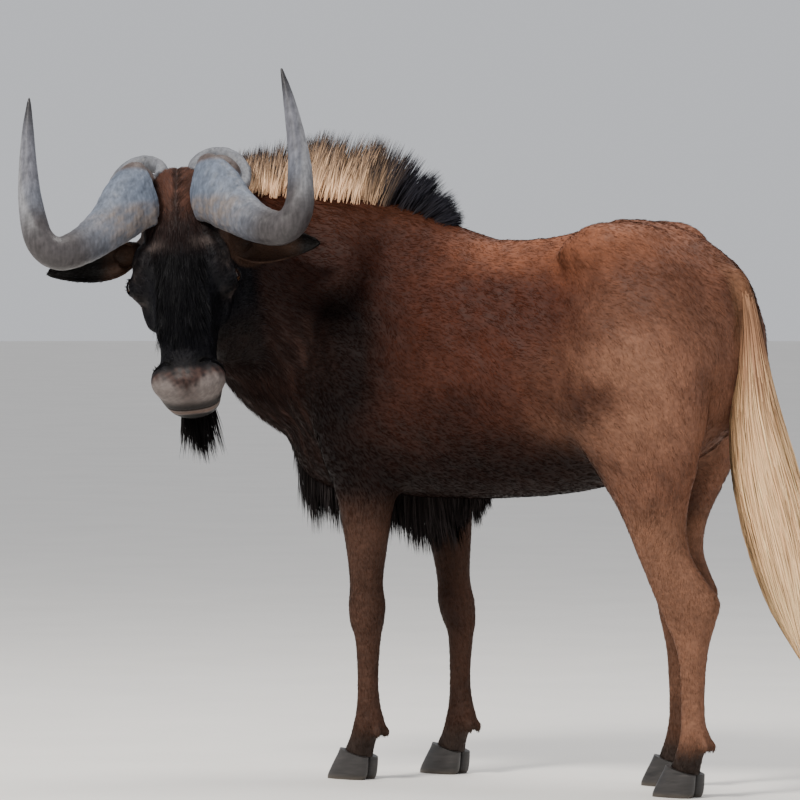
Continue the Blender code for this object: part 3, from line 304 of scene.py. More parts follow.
HINDLEG = [
    (1.010, 0.160, 0.400, 0.095, 0.070),
    (0.900, 0.110, 0.450, 0.115, 0.085),
    (0.790, 0.105, 0.462, 0.124, 0.085),
    (0.705, 0.150, 0.450, 0.127, 0.077),
    (0.620, 0.212, 0.428, 0.124, 0.062),
    (0.540, 0.262, 0.405, 0.119, 0.047),
    (0.475, 0.290, 0.412, 0.113, 0.038),
    (0.425, 0.312, 0.446, 0.109, 0.035),
    (0.385, 0.330, 0.474, 0.106, 0.035),
    (0.340, 0.352, 0.462, 0.105, 0.032),
    (0.290, 0.376, 0.446, 0.104, 0.026),
    (0.220, 0.384, 0.438, 0.103, 0.0215),
    (0.150, 0.387, 0.438, 0.103, 0.024),
    (0.118, 0.384, 0.449, 0.103, 0.029),
    (0.090, 0.376, 0.437, 0.103, 0.027),
    (0.064, 0.366, 0.428, 0.103, 0.028),
    (0.020, 0.352, 0.420, 0.103, 0.031),
]
LEGS = {"fore": FORELEG, "hind": HINDLEG}
LEG_MIDDLE = {"fore": -0.35, "hind": 0.40}
LEG_LATERAL = 0.11
LEG_STRIDE = {"fore": {LEFT: 0.0, RIGHT: 0.080}, "hind": {LEFT: 0.0, RIGHT: -0.155}}
STRIDE_TOP = {"fore": 0.72, "hind": 0.92}
STRIDE_END = 0.30

# The coronet, where flesh meets hoof: its height, and how far it drops towards the heel.
CORONET = 0.054
CORONET_SLOPE = 0.30
CORONET_X = {"fore": -0.378, "hind": 0.393}
# A claw's sections: height, reach to the toe and to the heel from the coronet's middle,
# half width. The two claws of a foot stand either side of the leg's middle.
CLAW = [
    (0.000, 0.064, 0.025, 0.0150),
    (0.010, 0.062, 0.030, 0.0163),
    (0.032, 0.050, 0.033, 0.0164),
    (0.056, 0.036, 0.033, 0.0160),
    (0.085, 0.024, 0.030, 0.0150),
]
CLAW_OFFSET = 0.0172
DEWCLAW_PLACE = {"fore": (-0.322, 0.098), "hind": (0.446, 0.102)}
DEWCLAW_RADII = (0.012, 0.008, 0.015)
DEWCLAW_OFFSET = 0.015
# The box that parts flesh and hoof, and the gap between them.
UNDER_HALF_SIZES = (0.20, 0.05, 0.20)
CORONET_GAP = 0.0004

# Skull sections down the face: distance from the poll, half width, dorsal and ventral
# reach, height of the greatest width, pinch of the dorsal and of the ventral half.
SKULL = [
    (-0.045, 0.045, -0.045, -0.130, -0.09, 1.0, 1.0),
    (-0.020, 0.066, -0.012, -0.140, -0.08, 0.9, 1.0),
    (0.040, 0.080, 0.008, -0.175, -0.08, 0.8, 1.0),
    (0.110, 0.090, 0.014, -0.205, -0.08, 0.75, 1.1),
    (0.180, 0.090, 0.014, -0.216, -0.07, 0.75, 1.2),
    (0.240, 0.082, 0.014, -0.194, -0.065, 0.8, 1.2),
    (0.300, 0.066, 0.014, -0.164, -0.06, 0.85, 1.1),
    (0.360, 0.057, 0.010, -0.140, -0.055, 0.85, 1.0),
    (0.410, 0.060, 0.002, -0.132, -0.05, 0.85, 0.9),
    (0.444, 0.064, -0.012, -0.128, -0.05, 0.85, 0.85),
    (0.464, 0.058, -0.030, -0.122, -0.06, 0.9, 0.9),
    (0.478, 0.044, -0.054, -0.114, -0.08, 0.95, 0.95),
    (0.484, 0.030, -0.070, -0.104, -0.09, 1.0, 1.0),
]
# Masses of the head: place (to the left side), radii. Eye's orbit, brow, cheek bone, jaw
# muscle, ear root, nostril wing, tear-bone ridge.
HEAD_MASSES = [
    ((0.212, 0.084, -0.048), (0.038, 0.032, 0.036)),
    ((0.178, 0.072, -0.022), (0.050, 0.030, 0.030)),
    ((0.230, 0.070, -0.075), (0.075, 0.026, 0.022)),
    ((0.170, 0.058, -0.140), (0.085, 0.034, 0.065)),
    ((0.115, 0.082, -0.100), (0.036, 0.030, 0.036)),
    ((0.428, 0.052, -0.036), (0.034, 0.025, 0.030)),
    ((0.285, 0.045, -0.012), (0.085, 0.018, 0.018)),
]
# The upper lip pad, the lower lip and the chin.
LIPS = [
    ((0.438, 0, -0.038), (0.038, 0.074, 0.040)),
    ((0.450, 0, -0.100), (0.038, 0.054, 0.027)),
    ((0.412, 0, -0.124), (0.050, 0.038, 0.022)),
]
# The mouth's line, as the plane between the lips: a point, and its slope down the face.
MOUTH = (0.450, 0, -0.076)
MOUTH_SLOPE = math.radians(-14)
MOUTH_HALF_SIZES = (0.065, 0.10, 0.0016)
MOUTH_DEPTH = 0.010
# The left nostril's comma, as a bent hollow: place and half width.
NOSTRIL = [
    (0.408, 0.030, -0.002, 0.004),
    (0.401, 0.044, -0.006, 0.010),
    (0.404, 0.058, -0.015, 0.013),
    (0.416, 0.068, -0.028, 0.012),
    (0.432, 0.073, -0.040, 0.005),
]

# Left horn in the head frame: along the face, to the side, out of the face, then the
# half width down the face and the half thickness.
HORN = [
    (0.032, 0.037, 0.012, 0.056, 0.028),
    (0.040, 0.056, 0.024, 0.072, 0.036),
    (0.066, 0.088, 0.036, 0.064, 0.038),
    (0.112, 0.128, 0.052, 0.048, 0.037),
    (0.160, 0.178, 0.076, 0.038, 0.035),
    (0.184, 0.228, 0.100, 0.034, 0.033),
    (0.158, 0.262, 0.119, 0.030, 0.030),
    (0.090, 0.273, 0.140, 0.025, 0.025),
    (0.020, 0.272, 0.160, 0.019, 0.019),
    (-0.055, 0.265, 0.182, 0.012, 0.012),
    (-0.118, 0.256, 0.202, 0.003, 0.003),
]
# The rolled rear edge of the boss, as an arch behind the poll: place and half thickness.
HORN_RIM = [
    (-0.020, 0.024, -0.030, 0.010),
    (-0.052, 0.040, -0.052, 0.013),
    (-0.070, 0.072, -0.066, 0.015),
    (-0.060, 0.106, -0.070, 0.016),
    (-0.026, 0.130, -0.062, 0.015),
    (0.012, 0.134, -0.040, 0.012),
    (0.040, 0.124, -0.010, 0.010),
]
HORN_HEEL = ((-0.005, 0.084, -0.030), (0.046, 0.047, 0.040))

# Ears: root and tip in the head frame (to the left side), the way they open, the widest half
# width, the wall's thickness and the swelling at the root.
EAR_ROOT = (0.126, 0.092, -0.062)
EAR_TIP = (0.158, 0.278, -0.050)
EAR_OPENS = (0.50, 0.10, 0.80)
EAR_HALF_WIDTH = 0.037
EAR_WALL = 0.0030
EAR_BASE = (0.024, 0.022, 0.032)

# The mane along the crest: root, half width of the fin at its root, hair length, lean back.
MANE = [
    (-0.684, -0.248, 1.182, 0.012, 0.046, 0.05),
    (-0.664, -0.198, 1.188, 0.018, 0.072, 0.05),
    (-0.612, -0.125, 1.188, 0.022, 0.096, 0.08),
    (-0.530, -0.055, 1.184, 0.022, 0.126, 0.14),
    (-0.430, -0.010, 1.176, 0.022, 0.124, 0.26),
    (-0.350, 0.000, 1.162, 0.019, 0.098, 0.60),
    (-0.285, 0.000, 1.140, 0.015, 0.068, 1.10),
    (-0.245, 0.000, 1.126, 0.008, 0.036, 1.80),
]

# The chest fringe along the midline: root, half width, hair length, lean back.
FRINGE = [
    (-0.600, 0.000, 0.720, 0.012, 0.060, -0.05),
    (-0.580, 0.000, 0.670, 0.024, 0.155, 0.00),
    (-0.530, 0.000, 0.630, 0.030, 0.130, 0.02),
    (-0.450, 0.000, 0.600, 0.032, 0.110, 0.05),
    (-0.350, 0.000, 0.578, 0.032, 0.115, 0.05),
    (-0.250, 0.000, 0.572, 0.028, 0.120, 0.05),
    (-0.180, 0.000, 0.572, 0.018, 0.075, 0.05),
    (-0.135, 0.000, 0.574, 0.008, 0.025, 0.05),
]

# Tail: centre of the dock and the switch, half width across and along x, down the tail.
TAIL = [
    (0.405, 0.000, 1.022, 0.024, 0.022),
    (0.440, 0.000, 1.018, 0.025, 0.022),
    (0.468, 0.000, 0.985, 0.023, 0.020),
    (0.480, 0.000, 0.920, 0.022, 0.019),
    (0.484, 0.000, 0.860, 0.026, 0.026),
    (0.492, -0.004, 0.760, 0.034, 0.044),
    (0.512, -0.008, 0.660, 0.038, 0.058),
    (0.540, -0.010, 0.560, 0.038, 0.064),
    (0.568, -0.010, 0.460, 0.032, 0.060),
    (0.592, -0.008, 0.360, 0.022, 0.044),
    (0.610, -0.006, 0.270, 0.005, 0.010),
]

# Hair of the head, in its frame: seed, count, first and last root, half width of the strip, ways
# at both roots, bend, lengths and colours at both roots, width, stations, fan.
HEAD_HAIR = {
    # The blue tint of the black brush and brow hair is a painted bluish sheen.
    "brush": (61, 3000, (0.160, 0, 0.006), (0.342, 0, 0.006), 0.046,
              ((0.80, 0, 0.22), (0.92, 0, 0.34)), (0.22, 0, -0.18), (0.030, 0.046),
              ((0.0034, 0.0032, 0.0036), (0.0015, 0.0015, 0.0022)), 0.0014, 4, 0.3),
    "brow": (71, 3000, (0.050, 0, 0.010), (0.170, 0, 0.010), 0.085,
             ((0.92, 0, 0.30), (0.95, 0, 0.22)), (0.05, 0, -0.16), (0.034, 0.030),
             ((0.018, 0.0100, 0.0085), (0.0030, 0.0028, 0.0034)), 0.0013, 4, 0.3),
    "forelock": (63, 2800, (-0.055, 0, -0.020), (0.085, 0, 0.008), 0.036,
                 ((1.0, 0, 0.34), (1.0, 0, 0.22)), (0.05, 0, -0.16), (0.036, 0.036),
                 ((0.130, 0.0680, 0.0500), (0.018, 0.0100, 0.0085)), 0.0012, 4, 0.60),
    "beard": (65, 1900, (0.335, 0, -0.132), (0.440, 0, -0.120), 0.017,
              ((0.55, 0, -0.80), (0.90, 0, -0.40)), (0.03, 0, 0.02), (0.080, 0.112),
              (BEARD_BLACK, BEARD_BLACK), 0.0018, 5, 0.06),
}


# Frames and curves
def in_head(along, lateral, out):
    """A point of the head frame in the model's frame."""
    return HEAD @ Vector((along, lateral, out))


def head_way(along, lateral, out):
    """A direction of the head frame in the model's frame."""
    return HEAD.to_3x3() @ Vector((along, lateral, out))


def to_head(points):
    """Points of the model in the head frame."""
    inverse = np.array(HEAD.inverted())
    return points @ inverse[:3, :3].T + inverse[:3, 3]


def mirrored(local):
    """Points of the head frame, all brought to its left side."""
    return np.column_stack([local[:, 0], np.abs(local[:, 1]), local[:, 2]])


def smooth_rows(rows, steps):
    """Catmull-Rom curve through rows of numbers, with the given steps between two rows."""
    rows = np.array(rows, float)
    padded = np.vstack([2 * rows[0] - rows[1], rows, 2 * rows[-1] - rows[-2]])
    made = []
    for i in range(len(rows) - 1):
        p0, p1, p2, p3 = padded[i : i + 4]
        for k in range(steps):
            t = k / steps
            made.append(
                0.5 * (2 * p1 + (p2 - p0) * t + (2 * p0 - 5 * p1 + 4 * p2 - p3) * t**2
                       + (3 * p1 - p0 - 3 * p2 + p3) * t**3)
            )
    made.append(rows[-1])
    return np.array(made)


def spaced(rows, count):
    """Rows at even distances along the smooth curve through the given rows."""
    fine = smooth_rows(rows, 8)
    steps = np.linalg.norm(np.diff(fine[:, :3], axis=0), axis=1)
    reach = np.concatenate([[0], np.cumsum(steps)])
    wanted = np.linspace(0, reach[-1], count)
    return np.column_stack([np.interp(wanted, reach, column) for column in fine.T])


# Meshes
def linked(name, data):
    obj = bpy.data.objects.new(name, data)
    bpy.context.scene.collection.objects.link(obj)
    return obj


def mesh_object(name, bm):
    bmesh.ops.recalc_face_normals(bm, faces=bm.faces)
    mesh = bpy.data.meshes.new(name)
    bm.to_mesh(mesh)
    bm.free()
    return linked(name, mesh)


def apply_modifiers(obj):
    """Replaces obj's mesh by the evaluated one."""
    graph = bpy.context.evaluated_depsgraph_get()
    old = obj.data
    obj.data = bpy.data.meshes.new_from_object(obj.evaluated_get(graph))
    obj.modifiers.clear()
    obj.vertex_groups.clear()
    bpy.data.meshes.remove(old)


def add_loft(bm, rings):
    """Joins rings of equal counts of points with quads and closes both ends."""
    loops = [[bm.verts.new(p) for p in ring] for ring in rings]
    count = len(loops[0])
    for lower, upper in zip(loops, loops[1:]):
        for k in range(count):
            n = (k + 1) % count
            bm.faces.new((lower[k], lower[n], upper[n], upper[k]))
    bm.faces.new(loops[0][::-1])
    bm.faces.new(loops[-1])


def loft_object(name, rings):
    bm = bmesh.new()
    add_loft(bm, rings)
    return mesh_object(name, bm)


def oval(centre, side, up, half_width, rise, fall, pinch_up=1.0, pinch_down=1.0, count=28):
    """An oval ring: its upper and lower halves have their own reach, and a pinch over 1
    narrows a half towards its tip."""
    ring = []
    for k in range(count):
        angle = 2 * math.pi * k / count
        c, s = math.cos(angle), math.sin(angle)
        pinch = pinch_up if s > 0 else pinch_down
        x = half_width * math.copysign(abs(c) ** pinch, c)
        y = (rise if s > 0 else fall) * s
        ring.append(centre + side * x + up * y)
    return ring


def sweep(points, broad, thin, first_axis, count=14):
    """Rings of ovals along a path, their axes carried along it without twist."""
    points = [Vector(p) for p in points]
    rings, axis = [], Vector(first_axis)
    for i, point in enumerate(points):
        ahead, behind = points[min(i + 1, len(points) - 1)], points[max(i - 1, 0)]
        way = (ahead - behind).normalized()
        axis = (axis - way * way.dot(axis)).normalized()
        other = way.cross(axis)
        rings.append(oval(point, axis, other, broad[i], thin[i], thin[i], count=count))
    return rings


def add_mass(bm, centre, radii, turn=Matrix.Identity(4), base=Matrix.Identity(4)):
    """An ellipsoid muscle or bone mass, turned about its centre."""
    matrix = base @ Matrix.Translation(centre) @ turn @ Matrix.Diagonal((*radii, 1))
    bmesh.ops.create_icosphere(bm, subdivisions=3, radius=1, matrix=matrix)


def ball(name, centre, radii, base, segments, rings):
    """A cutter or a solid in the shape of an ellipsoid."""
    bm = bmesh.new()
    matrix = base @ Matrix.Translation(centre) @ Matrix.Diagonal((*radii, 1))
    bmesh.ops.create_uvsphere(bm, u_segments=segments, v_segments=rings, radius=1, matrix=matrix)
    # A new sphere's faces come in a changing order, which every cut with it would pass on.
    bm.verts.index_update()
    count = len(bm.verts)
    bm.faces.sort(key=lambda face: face.verts[0].index * count + face.verts[1].index)
    return mesh_object(name, bm)


def box(name, matrix, half_sizes):
    """A cutter box in the frame of a matrix."""
    bm = bmesh.new()
    scale = Matrix.Diagonal((*[2 * h for h in half_sizes], 1))
    bmesh.ops.create_cube(bm, size=1, matrix=matrix @ scale)
    return mesh_object(name, bm)


def frame_of(origin, normal, towards):
    """A matrix at origin whose z axis is normal and whose x axis lies closest to towards."""
    z = Vector(normal).normalized()
    towards = Vector(towards)
    x = (towards - z * z.dot(towards)).normalized()
    turn = Matrix((x, z.cross(x), z)).transposed().to_4x4()
    return Matrix.Translation(origin) @ turn


def stride(kind, side, height):
    """How far a leg has swung along x at a height: none at its root, all below the knee."""
    top = STRIDE_TOP[kind]
    share = min(max((top - height) / (top - STRIDE_END), 0), 1)
    return LEG_STRIDE[kind][side] * share


# Sections of the body
def add_leg(bm, kind, side):
    rings = []
    for height, front, back, lateral, half_width in smooth_rows(LEGS[kind], 4):
        middle = (front + back) / 2 + stride(kind, side, height)
        centre = Vector((middle, side * lateral, height))
        reach = (back - front) / 2
        rings.append(
            oval(centre, Vector((0, 1, 0)), Vector((1, 0, 0)), half_width, reach, reach, 0.9, 0.9, 20)
        )
    add_loft(bm, rings)
    x, height = DEWCLAW_PLACE[kind]
    for offset in (-DEWCLAW_OFFSET, DEWCLAW_OFFSET):
        lateral = side * LEGS[kind][-1][3] + offset
        add_mass(bm, (x + stride(kind, side, height), lateral, height), DEWCLAW_RADII)


def add_trunk(bm):
    rings = []
    for x, half_width, top, bottom, wide, pinch_up, pinch_down in smooth_rows(TRUNK, 4):
        centre = Vector((x, 0, wide))
        rings.append(
            oval(centre, Vector((0, 1, 0)), Vector((0, 0, 1)), half_width,
                 top - wide, wide - bottom, pinch_up, pinch_down)
        )
    add_loft(bm, rings)
    for (x, y, z), radii, lean, pitch in MASSES:
        for side in (LEFT, RIGHT):
            turn = Matrix.Rotation(math.radians(side * lean), 4, "X")
            turn = turn @ Matrix.Rotation(math.radians(pitch), 4, "Y")
            add_mass(bm, (x, side * y, z), radii, turn)
    add_mass(bm, *BRISKET)


def add_neck(bm):
    rings = []
    rows = smooth_rows(NECK, 5)
    crests, throats = rows[:, :3], rows[:, 3:6]
    ways = np.gradient((crests + throats) / 2, axis=0)
    for crest, throat, way, half_width in zip(crests, throats, ways, rows[:, 6]):
        up = Vector(crest - throat)
        reach = up.length / 2
        up.normalize()
        side = Vector(way).cross(up).normalized()
        centre = Vector((crest + throat) / 2)
        rings.append(oval(centre, side, up, half_width, reach, reach, 1.25, 1.1))
    add_loft(bm, rings)


def add_head(bm):
    side, out = head_way(0, 1, 0), head_way(0, 0, 1)
    rings = []
    for along, half_width, top, bottom, wide, pinch_up, pinch_down in smooth_rows(SKULL, 4):
        centre = in_head(along, 0, wide)
        rings.append(
            oval(centre, side, out, half_width, top - wide, wide - bottom, pinch_up, pinch_down)
        )
    add_loft(bm, rings)
    for (along, lateral, outward), radii in HEAD_MASSES:
        for side_of_head in HEAD_SIDES.values():
            place = (along, side_of_head * lateral, outward)
            add_mass(bm, place, radii, base=HEAD)
    for centre, radii in LIPS:
        add_mass(bm, centre, radii, base=HEAD)


# From the design's coordinates to the frame's
SHIFT = (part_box("eye_left")[0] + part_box("eye_left")[1]) / 2 - in_head(*EYE_PLACE)


# Numbers at each point
def read(items, key):
    """One vector of each item of a mesh, as rows."""
    values = np.empty(len(items) * 3)
    items.foreach_get(key, values)
    return values.reshape(-1, 3)


def points_of(mesh):
    return read(mesh.vertices, "co")


def normals_of(mesh):
    return read(mesh.vertices, "normal")


def move_points(mesh, points):
    mesh.vertices.foreach_set("co", np.ascontiguousarray(points, dtype=np.float32).ravel())
    mesh.update()


def unit(rows):
    return rows / (np.linalg.norm(rows, axis=-1, keepdims=True) + 1e-12)


def ramp(values, start, end):
    """0 before start, 1 past end, smooth between."""
    t = np.clip((values - start) / (end - start), 0, 1)
    return t * t * (3 - 2 * t)


def waves(points, scale, seed, count=7):
    """Smooth wandering numbers from about -1 to 1, of the given grain in metres."""
    draw = np.random.default_rng(seed)
    total = np.zeros(len(points))
    for _ in range(count):
        way = draw.normal(size=3)
        way *= 2 * math.pi / scale / np.linalg.norm(way) * draw.uniform(0.6, 1.6)
        total += np.sin(points @ way + draw.uniform(0, 6.28))
    return total / math.sqrt(count)


def near(points, centre, radii):
    """1 at the centre, falling off to 0 at about twice the radii; None leaves an axis out."""
    away = np.zeros(len(points))
    for k in range(3):
        if centre[k] is not None:
            away += ((points[:, k] - centre[k]) / radii[k]) ** 2
    return np.exp(-away)


def mixed(base, colour, share):
    return base + (np.array(colour) - base) * share[:, None]


def nearest_of(points, path):
    """Distance from each point to the closest point of a path."""
    away = np.full(len(points), 1e9)
    for place in path:
        away = np.minimum(away, np.sum((points - place) ** 2, axis=1))
    return np.sqrt(away)


def plain(colour, points):
    return np.tile(colour, (len(points), 1))


def layered(colour, layers):
    """Colours laid over one another, each by its share at each point."""
    for over, share in layers:
        colour = mixed(colour, over, share)
    return colour


def forward_of(local):
    """How far points lie past the plane between head and neck."""
    along = local[:, 0] - HEAD_PLANE_POINT[0]
    out = local[:, 2] - HEAD_PLANE_POINT[1]
    return HEAD_PLANE_WAY[0] * along + HEAD_PLANE_WAY[1] * out


def ear_share(local):
    """1 on the ears, which stand out to the sides of the head."""
    root, tip = np.array(EAR_ROOT), np.array(EAR_TIP)
    folded = mirrored(local)
    way = tip - root
    t = np.clip((folded - root) @ way / (way @ way), 0.06, 1)
    away = np.linalg.norm(folded - root - t[:, None] * way, axis=1)
    return ramp(away, 0.056, 0.046)


def face_share(local):
    """1 on the head, 0 on the neck and body."""
    along, lateral, out = local.T
    share = ramp(forward_of(local), -0.06, 0.05) * ramp(np.abs(lateral), 0.155, 0.125)
    share = share * (along < 0.56) * (along > -0.09) * ramp(out, -0.25, -0.20)
    return np.maximum(share, ear_share(local))


def leg_share(points):
    return ramp(points[:, 2], 0.62, 0.45)


def softness(points):
    """How strongly the fused skin is smoothed: fully on the trunk, hardly elsewhere."""
    x, _, z = points.T
    along, lateral, _ = to_head(points).T
    down_leg = np.clip((0.60 - z) / 0.20, 0, 1)
    on_head = (np.abs(lateral) < 0.14) & (along < 0.56) & (along > -0.08)
    into_face = np.clip((forward_of(to_head(points)) + 0.05) / 0.08, 0, 1) * on_head
    weights = 1 + (SOFT_SHIN - 1) * down_leg + (SOFT_FACE - 1) * into_face
    dock = (x > 0.462) | ((x > 0.44) & (z > 0.99))
    return np.where(dock, SOFT_DOCK, weights)


# Colours of the coat
def body_colour(points, broad, patchy, fine):
    """Dark below and in front, paler over the back, the haunch and the legs; the dark low flank and
    belly are painted shade, the pale back a painted highlight.
    """
    x, y, z = points.T
    side = np.abs(y)
    height = z + 0.012 * broad + 0.006 * patchy
    haunch = ramp(x + 0.05 * broad, 0.10, 0.34) * ramp(height, 0.50, 0.62)
    dusty = near(points, *DUST_PATCH) * (0.45 + 0.18 * broad + 0.08 * patchy)
    neck = ramp(-x + 0.02 * broad + 0.010 * patchy, 0.38, 0.60)
    # Stretched waves that lay painted highlights along the neck's folds.
    fold_highlights = ramp(waves(points * (1, 1, 0.14), 0.022, 9), -0.4, 1.8)
    crest = ramp(height, 1.04, 1.17) * ramp(-x, 0.16, 0.34) * ramp(side, 0.20, 0.04)
    shin = np.where(x[:, None] > 0.1, HIND_SHIN, FORE_SHIN)
    colour = layered(plain(LOW_FLANK_SHADE, points), [
        (MID_FLANK, ramp(height, 0.60, 0.84)),
        (UP_FLANK, ramp(height, 0.82, 1.00)),
        # Painted highlight over the back.
        (BACK_HIGHLIGHT, ramp(height, 0.98, 1.12) * ramp(x + 0.03 * broad, -0.30, 0.0)),
        (HAUNCH, haunch * (1 - 0.55 * ramp(height, 0.88, 1.06))),
        (DUST, np.clip(dusty, 0, 0.6)),
        # Painted shade under the belly.
        (LOW_FLANK_SHADE, 0.7 * near(points, *BELLY_PATCH)),
        (SHOULDER, np.clip(1.2 * near(points, *SHOULDER_PATCH), 0, 0.96)),
        (NECK_DARK, 0.9 * neck * ramp(height, 1.17, 1.04)),
        (NECK_FOLD_HIGHLIGHT, 0.40 * neck * fold_highlights * ramp(height, 1.10, 0.95)),
        (RUSTY, 0.75 * crest),
        (shin, ramp(z, 0.60, 0.50)),
        # Painted shade between the legs, near the midline.
        (LOW_FLANK_SHADE, 0.55 * ramp(side, 0.105, 0.075) * ramp(z, 0.78, 0.55)),
        (PASTERN, ramp(z, 0.12, 0.07)),
        (DOCK_TONE, near(points, *DOCK_PATCH) * ramp(side, 0.05, 0.03)),
    ])
    brushed = waves(points * (0.35, 1, 1), 0.011, 8)
    return colour * (1 + 0.10 * broad + 0.08 * patchy + 0.05 * fine + 0.09 * brushed)[:, None]


def muzzle_colour(points, folded):
    """Dark top, grey pads either side of the middle, brown beside the nostrils, black chin."""
    along, spread, out = folded.T
    speckle = ramp(waves(points, 0.009, 4), 0.0, 1.2)
    mottle = waves(points, 0.016, 7)
    pinkish = ramp(along + 0.002 * mottle, 0.412, 0.434) * (0.60 + 0.25 * mottle)
    # The pads stand grey to the sides; between them the brown top reaches further down.
    aside = 0.022 * ramp(spread, 0.014, 0.046)
    pad = ramp(along + 0.0015 * mottle, 0.446 - aside, 0.468 - aside)
    pad *= (0.55 + 0.45 * ramp(spread, 0.004, 0.032)) * (1 - 0.12 * speckle)
    below = out - MOUTH[2] + (along - MOUTH[0]) * math.tan(MOUTH_SLOPE)
    lip = np.exp(-((below + 0.010) / 0.006) ** 2)
    return layered(plain(MUZZLE_TOP, points), [
        (MUZZLE_PINK, np.clip(pinkish, 0, 0.9)),
        (MUZZLE_GREY, pad * (0.88 + 0.06 * mottle)),
        (MUZZLE_DARK, 0.65 * speckle * ramp(spread, 0.034, 0.014) * ramp(along, 0.466, 0.446)),
        (NOTCH_BROWN, 0.9 * near(folded, *NOTCH_PATCH) * ramp(out, -0.075, -0.055)),
        (MUZZLE_DARK, 0.94 * ramp(below, 0.034, 0.007) * ramp(below, -0.006, -0.001)),
        (LIP_TAN, lip * ramp(along, 0.42, 0.45)),
        (CHIN_BLACK, ramp(-below, 0.014, 0.022)),
    ])


def head_colour(points, local, bare, patchy, fine):
    """Black, with a brown forehead, paler hair over and round the eyes, and a bare muzzle."""
    folded = mirrored(local)
    along, spread, out = folded.T
    ragged = along + 0.010 * patchy
    strip = ramp(spread, 0.042, 0.030) * ramp(ragged, 0.120, 0.050)
    strip *= 0.25 + 0.75 * ramp(spread + 0.002 * fine, 0.002, 0.008)
    brow = near(folded, *BROW_PATCH) * ramp(out, -0.04, -0.01)
    orbit = near(folded, *ORBIT_PATCH) + 0.8 * near(folded, *CHEEK_PATCH)
    head = layered(plain(FACE_BLACK_WITH_SHEEN, points), [
        (THROAT, ramp(-out, 0.10, 0.17)),
        (BROW_BROWN, ramp(ragged, 0.210, 0.090) * ramp(spread, 0.105, 0.070)),
        (FORELOCK_BROWN, 0.9 * strip),
        (BROW_PALE, np.clip(brow * (0.7 + 0.3 * fine), 0, 0.8)),
        (BROW_PALE, np.clip(orbit * (0.45 + 0.35 * fine), 0, 0.6)),
    ])
    head *= (1 + 0.20 * patchy + 0.15 * fine)[:, None]
    to_nostril = nearest_of(folded, smooth_rows(NOSTRIL, 4)[:, :3])
    ear = ear_share(local)
    # The right ear is painted black over more of its length than the left: partly painted shade, partly
    # the different way the ears are turned.
    black_from = np.where(local[:, 1] < 0, 0.125, 0.195)
    return layered(head, [
        (muzzle_colour(points, folded), bare),
        (NOSTRIL_BLACK, 0.95 * ramp(to_nostril, 0.0085, 0.0055)),
        (EAR_BROWN, ear),
        (EAR_BLACK, ear * ramp(spread, black_from, black_from + 0.055)),
        (EAR_BLACK, 0.8 * near(folded, *EAR_ROOT_PATCH)),
    ])


def markings(points):
    """The coat's colour and its roughness at each point, for skin and tufts alike."""
    local = to_head(points)
    broad = waves(points, 0.22, 1)
    patchy = waves(points, 0.06, 2)
    fine = waves(points, 0.018, 3)
    face = face_share(local)
    bare = ramp(local[:, 0] + 0.004 * patchy, 0.398, 0.414) * ramp(-local[:, 2], 0.135, 0.110)
    colour = body_colour(points, broad, patchy, fine)
    colour = mixed(colour, head_colour(points, local, bare, patchy, fine), face)
    rough = 0.62 - 0.14 * bare * face + 0.05 * patchy
    return np.clip(colour, 0.0015, 1), np.clip(rough, 0.2, 0.85)


# Materials
def material(name, build):
    made = bpy.data.materials.new(name)
    made.use_nodes = True
    build(made.node_tree, made.node_tree.nodes["Principled BSDF"])
    return made


def node(tree, kind, inputs=(), **settings):
    made = tree.nodes.new(kind)
    for key, value in settings.items():
        setattr(made, key, value)
    for key, value in dict(inputs).items():
        if isinstance(value, bpy.types.NodeSocket):
            tree.links.new(value, made.inputs[key])
        else:
            made.inputs[key].default_value = value
    return made


def noise_at(tree, scale, stretch=(1, 1, 1), detail=3.0):
    place = node(tree, "ShaderNodeTexCoord").outputs["Object"]
    mapping = node(tree, "ShaderNodeMapping", {"Vector": place, "Scale": stretch})
    return node(tree, "ShaderNodeTexNoise",
                {"Vector": mapping.outputs[0], "Scale": scale, "Detail": detail}).outputs["Fac"]


def ramp_of(tree, value, stops):
    made = node(tree, "ShaderNodeValToRGB", {"Fac": value})
    while len(made.color_ramp.elements) < len(stops):
        made.color_ramp.elements.new(0.5)
    for element, (place, grey) in zip(made.color_ramp.elements, stops):
        element.position = place
        element.color = (grey, grey, grey, 1)
    return made.outputs["Color"]


def multiplied(tree, first, second):
    factors = {0: 1, 6: first, 7: second}
    mix = node(tree, "ShaderNodeMix", factors, data_type="RGBA", blend_type="MULTIPLY")
    return mix.outputs[2]


def painted(tree, shader, grain, contrast, bump, stretch=(1, 1, 1), specular=0.5):
    """Base colour from the coat attribute, mottled by noise that also raises a bump."""
    coat = node(tree, "ShaderNodeAttribute", attribute_name="coat")
    noise = noise_at(tree, grain, stretch, 4.0)
    shade = ramp_of(tree, noise, [(0.25, 1 - contrast), (0.75, 1 + contrast)])
    raised = node(tree, "ShaderNodeBump", {"Height": noise, "Strength": 0.6, "Distance": bump})
    tree.links.new(multiplied(tree, coat.outputs["Color"], shade), shader.inputs["Base Color"])
    tree.links.new(coat.outputs["Alpha"], shader.inputs["Roughness"])
    tree.links.new(raised.outputs[0], shader.inputs["Normal"])
    shader.inputs["Specular IOR Level"].default_value = specular


def skin_look(tree, shader):
    painted(tree, shader, 260, 0.22, 0.0009, (0.35, 1, 0.6), 0.12)


def fur_look(tree, shader):
    painted(tree, shader, 420, 0.12, 0.0002, specular=0.03)


def hair_look(tree, shader):
    painted(tree, shader, 500, 0.15, 0.0003, specular=0.05)


def horn_look(tree, shader):
    painted(tree, shader, 170, 0.32, 0.0012, (1, 1, 0.25), 0.28)


def hoof_look(tree, shader):
    painted(tree, shader, 90, 0.35, 0.0008, (0.3, 0.3, 2.5))


